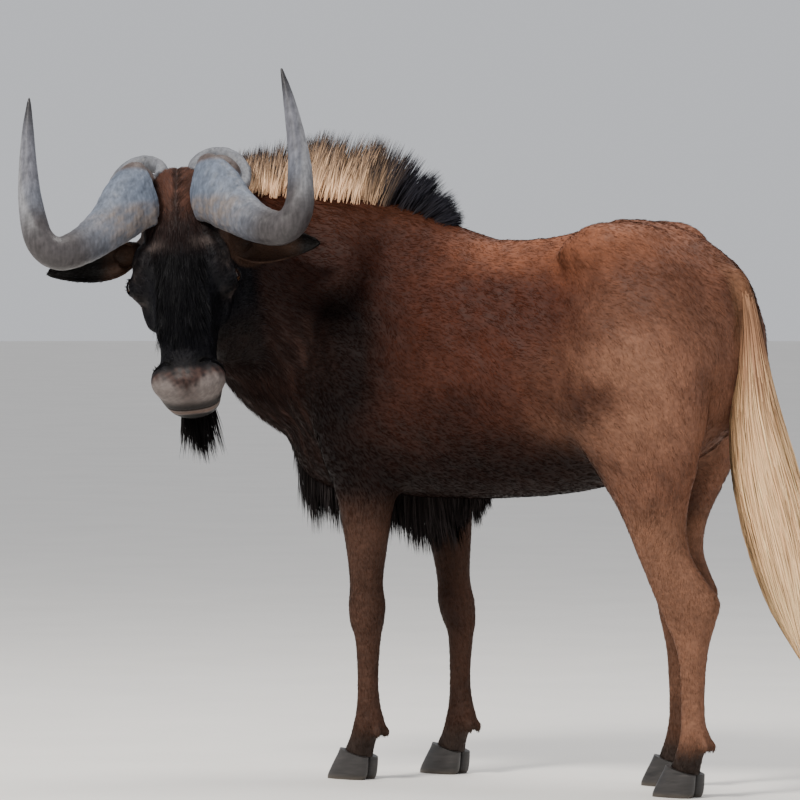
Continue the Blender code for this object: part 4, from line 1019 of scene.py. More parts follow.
def eye_look(tree, shader):
    painted(tree, shader, 300, 0.10, 0.00002)
    shader.inputs["Coat Weight"].default_value = 1.0
    shader.inputs["Coat Roughness"].default_value = 0.03


def floor_look(tree, shader):
    shade = ramp_of(tree, noise_at(tree, 3, detail=5.0), [(0.3, 0.80), (0.7, 0.84)])
    warm = multiplied(tree, shade, (1.0, 0.97, 0.92, 1))
    tree.links.new(warm, shader.inputs["Base Color"])
    shader.inputs["Roughness"].default_value = 0.8


# Pieces
def paint(mesh, colours, rough):
    attribute = mesh.color_attributes.new("coat", "FLOAT_COLOR", "POINT")
    attribute.data.foreach_set("color", np.column_stack([colours, rough]).astype(np.float32).ravel())


def finish_piece(obj, look, slot_name, *nodes):
    """Moves a piece from design coordinates to the frame, gives it its look, and hides the parts of the
    model it takes over.
    """
    obj.data.transform(Matrix.Translation(SHIFT))
    obj.data.materials.clear()
    obj.data.materials.append(look)
    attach(obj, "root")
    if nodes:
        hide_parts(*nodes)


def fuse(obj, voxel):
    remesh = obj.modifiers.new("fuse", "REMESH")
    remesh.mode = "VOXEL"
    remesh.voxel_size = voxel
    apply_modifiers(obj)


def soften(obj, steps, weights=None):
    """Smooths a mesh, each point by its weight."""
    smooth = obj.modifiers.new("soften", "SMOOTH")
    smooth.factor = 0.5
    smooth.iterations = steps
    if weights is not None:
        group = obj.vertex_groups.new(name="soft")
        levels = np.round(weights, 2)
        for level in np.unique(levels):
            group.add(np.nonzero(levels == level)[0].tolist(), float(level), "REPLACE")
        smooth.vertex_group = group.name
    apply_modifiers(obj)


def cut(obj, operation, other):
    modifier = obj.modifiers.new("cut", "BOOLEAN")
    modifier.operation = operation
    modifier.solver = "MANIFOLD"
    modifier.object = other
    apply_modifiers(obj)
    bpy.data.objects.remove(other)


def refine(obj, chosen):
    """Splits the chosen faces in four."""
    bm = bmesh.new()
    bm.from_mesh(obj.data)
    bm.faces.ensure_lookup_table()
    edges = {edge for i in chosen for edge in bm.faces[i].edges}
    bmesh.ops.subdivide_edges(bm, edges=list(edges), cuts=1, use_grid_fill=True, smooth=0.0)
    bm.to_mesh(obj.data)
    bm.free()


# Skin
def raise_relief(mesh):
    """Hollows and swellings of the trunk."""
    points, normals = points_of(mesh), normals_of(mesh)
    for (x, y, z), radius, height in RELIEF:
        for side in (LEFT, RIGHT):
            away = np.sum((points - (x, side * y, z)) ** 2, axis=1)
            points += normals * (height * np.exp(-away / radius**2))[:, None]
    move_points(mesh, points)


def coat_depth(points):
    """How far the bare skin lies inside the coat's outline."""
    local = to_head(points)
    depth = 0.0035 - 0.0020 * leg_share(points)
    bare = ramp(local[:, 0], 0.37, 0.40)
    return depth + (0.0016 * (1 - bare) - depth) * face_share(local)


def ear_solid(s):
    """A cupped leaf with a thin rim, open forwards and outwards."""
    root, tip = [in_head(a, s * b, c) for a, b, c in (EAR_ROOT, EAR_TIP)]
    opens = head_way(EAR_OPENS[0], s * EAR_OPENS[1], EAR_OPENS[2])
    way = tip - root
    opens = (opens - way * opens.dot(way) / way.length_squared).normalized()
    across = way.cross(opens).normalized()
    bm = bmesh.new()
    steps, grid = 26, []
    for i in range(steps + 1):
        t = 0.02 + 0.98 * i / steps
        half_width = EAR_HALF_WIDTH * (math.sin(math.pi * t**0.72) ** 0.75) + 0.0015
        curl = math.radians(118 - 62 * t)
        row = []
        for k in range(steps + 1):
            angle = curl * (2 * k / steps - 1)
            radius = half_width / math.sin(min(curl, math.pi / 2))
            sideways = across * (radius * math.sin(angle))
            depth = opens * (radius * (1 - math.cos(angle)) - 0.5 * half_width)
            row.append(bm.verts.new(root + way * t + sideways + depth))
        grid.append(row)
    for lower, upper in zip(grid, grid[1:]):
        for k in range(steps):
            bm.faces.new((lower[k], lower[k + 1], upper[k + 1], upper[k]))
    made = mesh_object("ear", bm)
    wall = made.modifiers.new("wall", "SOLIDIFY")
    wall.thickness = EAR_WALL
    wall.offset = 0
    apply_modifiers(made)
    base = frame_of(root + way * 0.10, way, across)
    cut(made, "UNION", ball("base", (0, 0, 0), EAR_BASE, base, 24, 16))
    return made


def add_dock(bm):
    """The root of the tail, inside its hair."""
    rows = smooth_rows(TAIL[:5], 4)
    inset = 0.002
    add_loft(bm, sweep(rows[:, :3], rows[:, 3] - inset, rows[:, 4] - inset, (0, 1, 0), 16))


def cut_mouth(skin):
    """A shallow groove between the lips."""
    turn = Matrix.Rotation(MOUTH_SLOPE, 4, "Y")
    groove = box("mouth", HEAD @ Matrix.Translation(MOUTH) @ turn, MOUTH_HALF_SIZES)
    inner = linked("inner", skin.data.copy())
    move_points(inner.data, points_of(inner.data) - normals_of(inner.data) * MOUTH_DEPTH)
    cut(groove, "DIFFERENCE", inner)
    cut(skin, "DIFFERENCE", groove)


def make_skin():
    """The whole skin without seams, from nose to dock."""
    bm = bmesh.new()
    add_trunk(bm)
    add_neck(bm)
    add_head(bm)
    for side in (LEFT, RIGHT):
        add_leg(bm, "fore", side)
        add_leg(bm, "hind", side)
    add_dock(bm)
    skin = mesh_object("skin", bm)
    fuse(skin, SKIN_VOXEL)
    steps = round(SMOOTHING_STEPS * (SMOOTHING_VOXEL / SKIN_VOXEL) ** 2)
    soften(skin, steps, softness(points_of(skin.data)))
    # The hips are rounder in the solids than a rump is.
    soften(skin, HIP_STEPS, near(points_of(skin.data), *HIP_PATCH))
    raise_relief(skin.data)
    centres = read(skin.data.polygons, "center")
    refine(skin, np.nonzero(face_share(to_head(centres)) > 0.35)[0])
    soften(skin, FACE_STEPS, face_share(to_head(points_of(skin.data))))
    sculpt(skin.data)
    points = points_of(skin.data)
    move_points(skin.data, points - normals_of(skin.data) * coat_depth(points)[:, None])
    for side in (LEFT, RIGHT):
        carve_side(skin, side)
    cut_mouth(skin)
    # The claws take over below the coronet.
    for kind in LEGS:
        for side in (LEFT, RIGHT):
            cut(skin, "DIFFERENCE", below_coronet(kind, side, 0))
    return skin


def sculpt(mesh):
    """Folds, veins and soft forms that the coarse solids leave out."""
    points, normals = points_of(mesh), normals_of(mesh)
    local = to_head(points)
    folded = mirrored(local)
    face = face_share(local)
    body = 1 - face
    x, y, z = points.T
    rise = np.zeros(len(points))
    for centre, radii, height in HEAD_RELIEF:
        rise += height * near(folded, centre, radii) * face
    flesh = 0.0016 * waves(points, 0.11, 21) + 0.0008 * waves(points, 0.045, 22)
    ribs = np.sin((x + 0.35 * (z - 0.8)) * 2 * math.pi / 0.052)
    wrinkles = np.sin((x * 0.5 + z * 0.8 + y * 0.3) * 2 * math.pi / 0.030)
    rise += body * ramp(z, 0.5, 0.7) * flesh
    rise += 0.0012 * ribs * near(points, *RIB_PATCH) * body
    rise += 0.0012 * wrinkles * near(points, *WRINKLE_PATCH) * body
    move_points(mesh, points + normals * rise[:, None])


def carve_side(skin, side):
    """Lids, socket, nostril and ear of one side of the head frame."""
    place = (EYE_PLACE[0], side * EYE_PLACE[1], EYE_PLACE[2])
    lid = EYE_RADIUS + LID_THICKNESS
    cut(skin, "UNION", ball("lid", place, (lid,) * 3, HEAD, 48, 32))
    look = Vector((EYE_LOOK[0], side * EYE_LOOK[1], EYE_LOOK[2])).normalized()
    opening = frame_of(Vector(place) + look * EYE_RADIUS, look, (1, 0, -0.25))
    cut(skin, "DIFFERENCE", ball("opening", (0, 0, 0), LID_OPENING, HEAD @ opening, 40, 24))
    socket = EYE_RADIUS + SOCKET_GAP
    cut(skin, "DIFFERENCE", ball("socket", place, (socket,) * 3, HEAD, 48, 32))
    rows = smooth_rows(NOSTRIL, 6)
    points = [in_head(along, side * lateral, out) for along, lateral, out in rows[:, :3]]
    rings = sweep(points, rows[:, 3] * 0.5, rows[:, 3] * 0.95, head_way(1, 0, 0), 20)
    cut(skin, "DIFFERENCE", loft_object("nostril", rings))
    cut(skin, "UNION", ear_solid(side))


# Hair
def turn_about(across, up):
    """The share of a full turn at which a direction stands."""
    return np.arctan2(across, up) / (2 * math.pi) + 0.5


def on_sheet(sheet, across, along):
    """Places on one sheet of the flat layout, from shares of its width and height."""
    return np.stack([sheet[0] + sheet[1] * across, sheet[2] + sheet[3] * along], axis=1)


def unwrap(points):
    """Where each root lies on a flat layout of the skin: trunk, head and four legs."""
    x, y, z = points.T
    local = to_head(points)
    along, lateral, out = local.T
    face = face_share(local) > 0.5
    leg = (z < LEG_SHEET_TOP) & ~face
    hind, right = x > 0.05, y > 0
    middle = np.where(hind, LEG_MIDDLE["hind"] + LEG_STRIDE["hind"][RIGHT] * right,
                      LEG_MIDDLE["fore"] + LEG_STRIDE["fore"][RIGHT] * right)
    leg_turn = turn_about(y - np.sign(y) * LEG_LATERAL, x - middle)
    flat = on_sheet(TRUNK_SHEET, turn_about(y, z - 0.86), np.clip((x + 0.78) / 1.45, 0, 1))
    of_head = on_sheet(HEAD_SHEET, turn_about(lateral, out + 0.08), np.clip((along + 0.08) / 0.60, 0, 1))
    of_leg = on_sheet(LEG_SHEET, leg_turn, z / LEG_SHEET_TOP)
    of_leg[:, 0] += LEG_SHEET_STEP * (2 * hind + right)
    flat = np.where(face[:, None], of_head, flat)
    return np.where(leg[:, None], of_leg, flat)


def tuft_points(paths, sides, widths):
    """Three corners round each station of each tuft, and its tip."""
    rings = paths.shape[1] - 1
    ways, sides = unit(np.diff(paths, axis=1)), unit(sides)
    corners = []
    for i in range(rings):
        middle, way = paths[:, i], ways[:, i]
        across = unit(sides - way * np.sum(sides * way, axis=1, keepdims=True))
        half = (0.5 * widths * (1 - (i / rings) ** 1.6 * 0.75))[:, None]
        ridge = np.cross(across, way) * half * 0.7
        corners += [middle + across * half, middle - across * half, middle + ridge]
    return np.stack(corners + [paths[:, -1]], axis=1)


def tuft_faces(rings):
    """The triangles of one tuft: its foot, its sides ring by ring, and its tip."""
    faces = [(2, 1, 0)]
    for i in range(rings):
        for k in range(3):
            a, b = 3 * i + k, 3 * i + (k + 1) % 3
            if i < rings - 1:
                faces += [(b, b + 3, a), (b + 3, a + 3, a)]
            else:
                faces.append((b, 3 * rings, a))
    return np.array(faces)


def tuft_patch(rings):
    """The small patch of the flat layout that one tuft takes, about its root."""
    patch = [(k / 2 - 0.5, i / rings - 0.5) for i in range(rings) for k in range(3)]
    return np.array(patch + [(0, 0.5)])


def hair_piece(name, paths, sides, widths, colours, rough, look, slot_name, lit):
    """Closed three-sided tufts along paths (tufts, stations, 3), each ending in a tip, with
    a colour at each station. The tufts take their light from the normals in lit."""
    count, stations = paths.shape[:2]
    verts = tuft_points(paths, sides, widths)
    size = verts.shape[1]
    offsets = np.arange(count)[:, None, None] * size
    corners = (tuft_faces(stations - 1)[None] + offsets).reshape(-1)
    triangles = len(corners) // 3
    mesh = bpy.data.meshes.new(name)
    mesh.vertices.add(count * size)
    mesh.vertices.foreach_set("co", verts.astype(np.float32).ravel())
    mesh.loops.add(len(corners))
    mesh.loops.foreach_set("vertex_index", corners.astype(np.int32))
    mesh.polygons.add(triangles)
    mesh.polygons.foreach_set("loop_start", (3 * np.arange(triangles)).astype(np.int32))
    mesh.update()
    mesh.shade_smooth()
    mesh.normals_split_custom_set_from_vertices(np.repeat(lit, size, axis=0))
    each = np.concatenate([np.repeat(colours[:, :-1], 3, axis=1), colours[:, -1:]], axis=1)
    paint(mesh, each.reshape(-1, 3), np.repeat(rough, size))
    flat = unwrap(paths[:, 0])[:, None] + TUFT_PATCH * tuft_patch(stations - 1)[None]
    layer = mesh.uv_layers.new(name="OFBake")
    layer.data.foreach_set("uv", flat.reshape(-1, 2)[corners].astype(np.float32).ravel())
    finish_piece(linked(name, mesh), look, slot_name)


def lie_of_coat(points, normals):
    """The way the short hair points, along the surface."""
    local = to_head(points)
    left = np.sign(local[:, 1:2])
    down_face, to_left, out = [np.array(head_way(*axis)) for axis in np.eye(3)]
    on_head = -down_face + to_left * (left * 0.5) - out * 0.4
    face = face_share(local)[:, None]
    ear = ramp(np.abs(local[:, 1:2]), 0.10, 0.13)
    neck = ramp(-points[:, :1], 0.40, 0.60)
    haunch = ramp(points[:, :1], 0.20, 0.42) * ramp(points[:, 2:], 1.05, 0.85)
    leg = ramp(points[:, 2:], 0.66, 0.52)
    on_head = on_head * (1 - ear) + to_left * left * ear
    way = np.tile((1.0, 0.0, -0.45), (len(points), 1))
    turns = [((0.55, 0.55, -0.55), neck), ((0.35, 0, -1.0), haunch), ((0.12, 0, -1.0), leg)]
    for other, share in turns + [(on_head, face)]:
        way = way * (1 - share) + np.array(other) * share
    swirl = np.column_stack([waves(points, 0.16, 31 + i) for i in range(3)])
    way = unit(way) + 0.22 * swirl
    return unit(way - normals * np.sum(way * normals, axis=1, keepdims=True))


def triangles_of(mesh):
    mesh.calc_loop_triangles()
    corners = np.empty(len(mesh.loop_triangles) * 3, np.int32)
    mesh.loop_triangles.foreach_get("vertices", corners)
    return corners.reshape(-1, 3)


def coat_density(points):
    """Tufts to the area: most on the face and legs, none on muzzle, eyes and hooves."""
    local = to_head(points)
    face = face_share(local)
    bare = face * ramp(local[:, 0], 0.385, 0.425) * ramp(-local[:, 2], 0.14, 0.11)
    eye = near(mirrored(local), EYE_PLACE, (0.020, 0.020, 0.020))
    density = (1.0 + 1.2 * leg_share(points) + 3.2 * face) * (1 - bare)
    density *= 1 - np.clip(1.6 * eye, 0, 1)
    return density * ramp(points[:, 2], CORONET - 0.004, CORONET + 0.006)


def coat_roots(mesh, draw):
    """Random roots on the skin and its normals there."""
    points, normals = points_of(mesh), normals_of(mesh)
    corners = triangles_of(mesh)
    a, b, c = [points[corners[:, k]] for k in range(3)]
    area = 0.5 * np.linalg.norm(np.cross(b - a, c - a), axis=1)
    reach = np.cumsum(area * coat_density((a + b + c) / 3))
    chosen = corners[np.searchsorted(reach, draw.uniform(0, reach[-1], COAT_TUFTS))]
    r1, r2 = draw.uniform(size=(2, COAT_TUFTS))
    r1 = np.sqrt(r1)
    share = np.stack([1 - r1, r1 * (1 - r2), r1 * r2], axis=1)
    root = np.einsum("nk,nkd->nd", share, points[chosen])
    return root, unit(np.einsum("nk,nkd->nd", share, normals[chosen]))


def short_coat(skin, look):
    """Flat tufts all over the skin, smallest on the face and feet."""
    draw = np.random.default_rng(5)
    root, normal = coat_roots(skin.data, draw)
    face, leg = face_share(to_head(root)), leg_share(root)
    way = lie_of_coat(root, normal)
    side = np.cross(normal, way)
    way = way + side * draw.normal(0, 0.16, COAT_TUFTS)[:, None]
    throat = near(root, *THROAT_PATCH) * (1 - face)
    crest = ramp(root[:, 2], 1.10, 1.18) * ramp(-root[:, 0], 0.2, 0.35)
    length = 0.0120 - 0.0040 * leg - 0.0060 * face + 0.014 * throat + 0.010 * crest
    length *= draw.uniform(0.75, 1.3, COAT_TUFTS)
    width = (0.0023 - 0.0006 * leg - 0.0009 * face) * draw.uniform(0.8, 1.25, COAT_TUFTS)
    lift = np.clip(0.12 + 0.05 * draw.normal(size=COAT_TUFTS) + 0.14 * throat, 0.04, 0.5)
    grow = way * np.cos(lift)[:, None] + normal * np.sin(lift)[:, None]
    start = root - normal * (0.15 * width)[:, None]
    paths = np.stack([start, start + grow * length[:, None]], axis=1)
    colour, rough = markings(root)
    vary = draw.normal(1, 0.17, COAT_TUFTS).clip(0.5, 1.6)[:, None]
    base, tip = colour * vary * 0.88, colour * vary * 1.12
    grey = (draw.uniform(size=COAT_TUFTS) < 0.03 * face)[:, None]
    tip = np.where(grey, GREY_HAIR, tip)
    colours = np.clip(np.stack([base, tip], axis=1), 0.001, 1)
    part_of = np.argsort(unwrap(root)[:, 0] + 10 * (face > 0.5), kind="stable")
    lit = unit(normal + 0.15 * draw.normal(size=(COAT_TUFTS, 3)) + 0.10 * way)
    for i, some in enumerate(np.array_split(part_of, COAT_PIECES)):
        hair_piece(f"coat_{i + 1}", paths[some], side[some], width[some], colours[some],
                   rough[some], look, "brown_body_coat", lit[some])


def bent_paths(root, way, bend, length, stations):
    t = np.linspace(0, 1, stations)[None, :, None]
    return root[:, None] + (way[:, None] * t + bend[:, None] * t**2) * length[:, None, None]


def rooted(points, tree, buried):
    """Roots moved to just below the skin, or only those outside it if the rest stay buried."""
    made = points.copy()
    for i, point in enumerate(points):
        place, normal = tree.find_nearest(Vector(point))[:2]
        if not buried or (Vector(point) - place).dot(normal) > 0:
            made[i] = np.array(place) - 0.002 * np.array(normal)
    return made


def strands(name, paths, face, widths, base, tip, look, slot_name, switch, lit, root=None):
    """Long hair whose colour turns from base to tip at a share of its length, and may have
    a colour of its own at the very root."""
    share = np.linspace(0, 1, paths.shape[1])[None]
    turned = ramp(share - switch[:, None], -0.14, 0.14)[..., None]
    # Each hair is darker towards its root: painted shade from the hair crowded round it.
    shade = (0.75 + 0.25 * np.minimum(share * 2.5, 1))[..., None]
    colours = (base[:, None] * (1 - turned) + tip[:, None] * turned) * shade
    if root is not None:
        colours[:, 0] = root
    rough = np.full(len(paths), 0.5)
    hair_piece(f"{name}_hair", paths, face, widths, np.clip(colours, 0.001, 1), rough, look,
               slot_name, lit)


def hair_line(rows, t, clump, seed):
    """The row and the way of a line of hair at each share t, and five numbers of its clump."""
    stations = spaced(rows, LINE_STATIONS)
    ways = unit(np.gradient(stations[:, :3], axis=0))
    last = LINE_STATIONS - 1
    at = np.clip((t * last).astype(int), 0, last)
    per = np.random.default_rng(seed).uniform(-1, 1, (CLUMPS, 5))
    return stations[at], ways[at], per[np.clip(clump, 0, CLUMPS - 1).astype(int)]


def mane_hair(tree, look):
    """Bristly crest: cream below black tips, all black and leaning back behind."""
    draw = np.random.default_rng(7)
    count = MANE_HAIRS
    t = draw.uniform(0, 1, count)
    clump = np.round(t * 46 + 0.32 * draw.normal(size=count))
    row, tangent, per = hair_line(MANE, t, clump, 8)
    place = np.clip(draw.normal(0, 0.50, count), -1.15, 1.15)
    aside = np.abs(place)
    side = unit(np.cross(tangent, UP))
    root = row[:, :3] + side * (place * (row[:, 3] + 0.004))[:, None]
    root = rooted(root - UP * (0.012 + 0.010 * aside)[:, None], tree, True)
    lean = row[:, 5] + 0.12 * per[:, 0] + 0.06 * draw.normal(size=count)
    spread = place * 0.20 + 0.07 * per[:, 1] + 0.05 * draw.normal(size=count)
    way = UP + tangent * lean[:, None] + side * spread[:, None]
    full = row[:, 4] + 0.012
    length = full * (1 - 0.20 * aside) * (0.93 + 0.10 * per[:, 2] + 0.10 * draw.normal(size=count))
    bend = tangent * (0.08 + 0.05 * per[:, 3])[:, None]
    paths = bent_paths(root, unit(way), bend, np.minimum(length, full * 1.07), 4)
    pale = ramp(t + 0.05 * per[:, 4], 0.74, 0.58)
    cream = pale * np.clip(draw.normal(0.97, 0.12, count), 0, 1.05)
    base = mixed(plain(MANE_BLACK, root), MANE_CREAM, cream)
    dark = plain(MANE_TIP, root) * draw.uniform(0.6, 2.2, count)[:, None]
    outside = np.sign(place)[:, None]
    face = side * (0.4 * draw.normal(size=count))[:, None] - tangent * outside
    lit = unit(side * outside + UP * 0.7 + 0.3 * draw.normal(size=(count, 3)))
    width = draw.uniform(0.0013, 0.0025, count)
    switch = 0.66 + 0.07 * draw.normal(size=count) - 0.10 * ramp(aside, 0.5, 0.0)
    strands("mane", paths, face, width, base, dark, look, "cream_tail_hair", switch, lit,
            mixed(base, MANE_ROOT, 0.85 * pale))


def fringe_hair(look):
    """The long black fringe under the throat, brisket and chest."""
    draw = np.random.default_rng(9)
    count = FRINGE_HAIRS
    t = draw.uniform(0, 1, count)
    row, tangent, per = hair_line(FRINGE, t, np.round(t * 34), 10)
    place = draw.uniform(-1, 1, count)
    side = unit(np.cross(tangent, UP))
    root = row[:, :3] + side * (place * row[:, 3])[:, None]
    root = root + UP * (0.016 + 0.010 * place**2)[:, None]
    sway = 0.12 * per[:, 0] + 0.05 * draw.normal(size=count)
    spread = place * 0.06 + 0.06 * per[:, 1] + 0.03 * draw.normal(size=count)
    way = -UP + tangent * sway[:, None] + side * spread[:, None]
    full = row[:, 4] + 0.016
    length = full * (1 - 0.25 * np.abs(place))
    length *= 0.88 + 0.16 * per[:, 2] + 0.10 * draw.normal(size=count)
    bend = tangent * (0.08 + 0.05 * per[:, 3])[:, None]
    paths = bent_paths(root, unit(way), bend, np.clip(length, 0.01, full * 1.05), 5)
    base = plain(FRINGE_BASE, root) * draw.uniform(0.7, 1.5, count)[:, None]
    tip = plain(FRINGE_TIP, root) * draw.uniform(0.6, 3.0, count)[:, None]
    outside = np.sign(place)[:, None]
    face = side * (0.4 * draw.normal(size=count))[:, None] + tangent * outside
    lit = unit(side * outside + 0.4 * draw.normal(size=(count, 3)))
    width = draw.uniform(0.0014, 0.0028, count)
    strands("fringe", paths, face, width, base, tip, look, "brown_body_coat",
            np.full(count, 0.5), lit)


def between(ends, t):
    """Rows between the first and the last one, by the shares t."""
    return np.array(ends[0]) * (1 - t) + np.array(ends[1]) * t


def head_hair(name, tree, look):
    """One strip of hair down the face or under the chin, set on the skin."""
    (seed, count, first, last, half_width, ways, bend, lengths, colours, width, stations,
     fan) = HEAD_HAIR[name]
    draw = np.random.default_rng(seed)
    t = draw.uniform(0, 1, count)[:, None]
    place = np.clip(draw.normal(0, 0.5, count), -1, 1)[:, None]
    root = between((first, last), t)
    root[:, 1:2] += place * half_width
    way = between(ways, t)
    clump = np.round(t[:, 0] * 9) * 5 + np.round(place[:, 0] * 2) + 2
    per = np.random.default_rng(seed + 1).uniform(-1, 1, (CLUMPS, 3))
    per = per[np.clip(clump, 0, CLUMPS - 1).astype(int)]
    way[:, 1:2] += place * fan + 0.10 * per[:, :1] + 0.06 * draw.normal(size=(count, 1))
    way[:, 0:1] += 0.08 * per[:, 1:2]
    length = between(lengths, t[:, 0])
    length *= 0.90 + 0.12 * per[:, 2] + 0.12 * draw.normal(size=count)
    length = np.clip(length, 0.008, 1.05 * max(lengths))
    turn = np.array(HEAD.to_3x3())
    world = rooted(root @ turn.T + np.array(POLL), tree, False)
    bends = plain(np.array(bend) @ turn.T, root)
    paths = bent_paths(world, unit(way) @ turn.T, bends, length, stations)
    face = plain(turn[:, 1], root) + 0.5 * draw.normal(size=(count, 3))
    colour = between(colours, t) * draw.uniform(0.6, 1.7, count)[:, None]
    colour = mixed(colour, BROW_PALE, 0.75 * near(np.abs(root), *BROW_HAIR_PATCH))
    widths = draw.uniform(0.7, 1.3, count) * width
    switch = 0.5 + 0.1 * draw.normal(size=count)
    tilt = 0.3 * np.sign(place) * turn[:, 1] + 0.3 * draw.normal(size=(count, 3))
    strands(name, paths, face, widths, colour * 0.85, colour * 1.3, look, "dark_face_coat",
            switch, unit(turn[:, 2] + tilt))


def tail_hair(look):
    """The long cream switch, in layers of bending locks from the dock to its tip."""
    draw = np.random.default_rng(13)
    count, stations, locks = TAIL_HAIRS, 7, 64
    rows = spaced(TAIL, 120)
    last = len(rows) - 1
    centre = rows[:, :3]
    tangent = unit(np.gradient(centre, axis=0))
    start = 0.10 + 0.52 * draw.uniform(size=count) ** 1.2
    end = np.clip(start + draw.uniform(0.30, 0.62, count), 0.3, 1.0)
    lock = draw.integers(0, locks, count)
    lock_turn = np.random.default_rng(14).uniform(0, 2 * math.pi, locks)[lock]
    lock_sway = np.random.default_rng(15).normal(0, 1, (locks, 3))[lock, 0]
    angle = lock_turn + 0.22 * draw.normal(size=count)
    fullness = 0.80 + 0.18 * draw.uniform(size=count)
    across, rearward = np.array((0.0, 1.0, 0.0)), np.array((1.0, 0.0, 0.0))
    paths = np.empty((count, stations, 3))
    for k in range(stations):
        s = k / (stations - 1)
        at = np.clip((start + (end - start) * s) * last, 0, last).astype(int)
        other = unit(np.cross(tangent[at], across))
        reach = np.interp(s, [0, 0.25, 0.6, 1.0], [0.80, 1.08, 1.12, 0.95]) * fullness
        if k > 0:
            reach = reach / 0.9
        turned = angle + s * s * 0.16 * lock_sway
        offset = across * (np.cos(turned) * rows[at, 3])[:, None]
        offset = offset + other * (np.sin(turned) * rows[at, 4])[:, None]
        paths[:, k] = centre[at] + offset * reach[:, None]
    colour = mixed(plain(TAIL_CREAM, start), TAIL_DOCK, ramp(start, 0.34, 0.14) * 0.85)
    colour *= np.clip(draw.normal(1.0, 0.18, count), 0.5, 1.5)[:, None]
    tip = plain(TAIL_TIP, start) * np.clip(draw.normal(1.0, 0.12, count), 0.5, 1.2)[:, None]
    face = across * np.sin(angle)[:, None] - rearward * np.cos(angle)[:, None]
    lit = across * np.cos(angle)[:, None] + rearward * np.sin(angle)[:, None]
    lit = unit(lit + 0.25 * draw.normal(size=(count, 3)))
    width = draw.uniform(0.0016, 0.0030, count)
    strands("tail", paths, face, width, colour, tip, look, "cream_tail_hair",
            np.full(count, 0.45), lit)


# Horns, eyes and claws
def horn_rows(side_name, rows, steps):
    """A smooth path of the horn, on one side, and its rows."""
    side = HEAD_SIDES[side_name]
    rows = smooth_rows(rows, steps)
    path = [in_head(along, side * lateral, out) for along, lateral, out in rows[:, :3]]
    return path, rows


def horn_colour(points, t, grain, to_rim, rows):
    """Grey boss, brown edges and hooks, paler shafts with a painted highlight along their outer side and
    dark tips; t runs down the horn.
    """
    along, spread, _ = mirrored(to_head(points)).T
    edge = ramp(along - 0.30 * spread, 0.045, 0.070) * ramp(t, 0.36, 0.20)
    middle = np.interp(t, np.linspace(0, 1, len(rows)), rows[:, 1])
    # The outer side of each shaft gets a painted highlight.
    outer = ramp(spread - middle, 0.004, 0.016)
    on_rim = ramp(to_rim, 0.024, 0.016) * ramp(along, 0.045, 0.020)
    hollow = ramp(along, 0.004, -0.010) * ramp(t, 0.5, 0.3) * (1 - on_rim)
    colour = layered(plain(HORN_GREY, points), [
        (HORN_BOSS, ramp(t, 0.08, 0.20) * 0.7),
        (HORN_EDGE, 0.65 * edge * (0.7 + 0.3 * grain.clip(-1, 1))),
        (HORN_HOOK, 0.88 * ramp(t, 0.24, 0.40) * ramp(t, 0.72, 0.56)),
        (HORN_SHAFT, ramp(t, 0.58, 0.74)),
        (HORN_HIGHLIGHT, 0.7 * outer * ramp(t, 0.50, 0.66)),
        (HORN_TIP, ramp(t, 0.84, 0.98)),
        (HORN_HOLLOW, 0.85 * hollow),
        (HORN_RIM_GREY, 0.8 * on_rim),
    ])
    streaks = np.sin(waves(points, 0.020, 44) * 3)
    return np.clip(colour * (1 + 0.10 * grain + 0.07 * streaks)[:, None], 0.01, 1)


def horn_piece(side_name, look):
    """Boss, hook and shaft as one sweep, with the rolled rear rim and the heel fused to it."""
    side = HEAD_SIDES[side_name]
    path, rows = horn_rows(side_name, HORN, 10)
    rim_path, rim = horn_rows(side_name, HORN_RIM, 6)
    bm = bmesh.new()
    add_loft(bm, sweep(path, rows[:, 3], rows[:, 4], head_way(1, 0, 0), 36))
    add_loft(bm, sweep(rim_path, rim[:, 3] * 1.2, rim[:, 3], head_way(1, 0, 0), 20))
    (along, lateral, out), radii = HORN_HEEL
    add_mass(bm, (along, side * lateral, out), radii, base=HEAD)
    made = mesh_object(f"horn_{side_name}_fine", bm)
    fuse(made, HORN_VOXEL)
    soften(made, 5)
    points = points_of(made.data)
    _, spread, out = mirrored(to_head(points)).T
    outward = 0.015 * ramp(spread, 0.090, 0.022) * ramp(out, -0.045, -0.020)
    move_points(made.data, points + outward[:, None] * side * np.array(head_way(0, 1, 0)))
    points, normals = points_of(made.data), normals_of(made.data)
    fine_path = np.array([tuple(p) for p in path])
    steps = np.linalg.norm(np.diff(fine_path, axis=0), axis=1)
    reach = np.concatenate([[0], np.cumsum(steps)])
    nearest = np.argmin(((points[:, None] - fine_path[None]) ** 2).sum(axis=2), axis=1)
    t = reach[nearest] / reach[-1]
    grain = waves(points, 0.030, 41) + 0.6 * waves(points, 0.012, 42)
    boss = ramp(t, 0.42, 0.22)
    ridges = np.sin(t * 150 + 0.8 * waves(points, 0.05, 43))
    ridges *= ramp(t, 0.05, 0.12) * ramp(t, 0.55, 0.35)
    rise = 0.0003 * grain * boss + 0.0003 * ridges + 0.0001 * grain
    move_points(made.data, points + normals * rise[:, None])
    colour = horn_colour(points, t, grain, nearest_of(points, np.array(rim_path)), rows)
    paint(made.data, colour, np.clip(0.46 + 0.07 * grain + 0.06 * boss, 0.3, 0.7))
    made.data.shade_smooth()
    finish_piece(made, look, "grey_horn", f"horn_{side_name}")


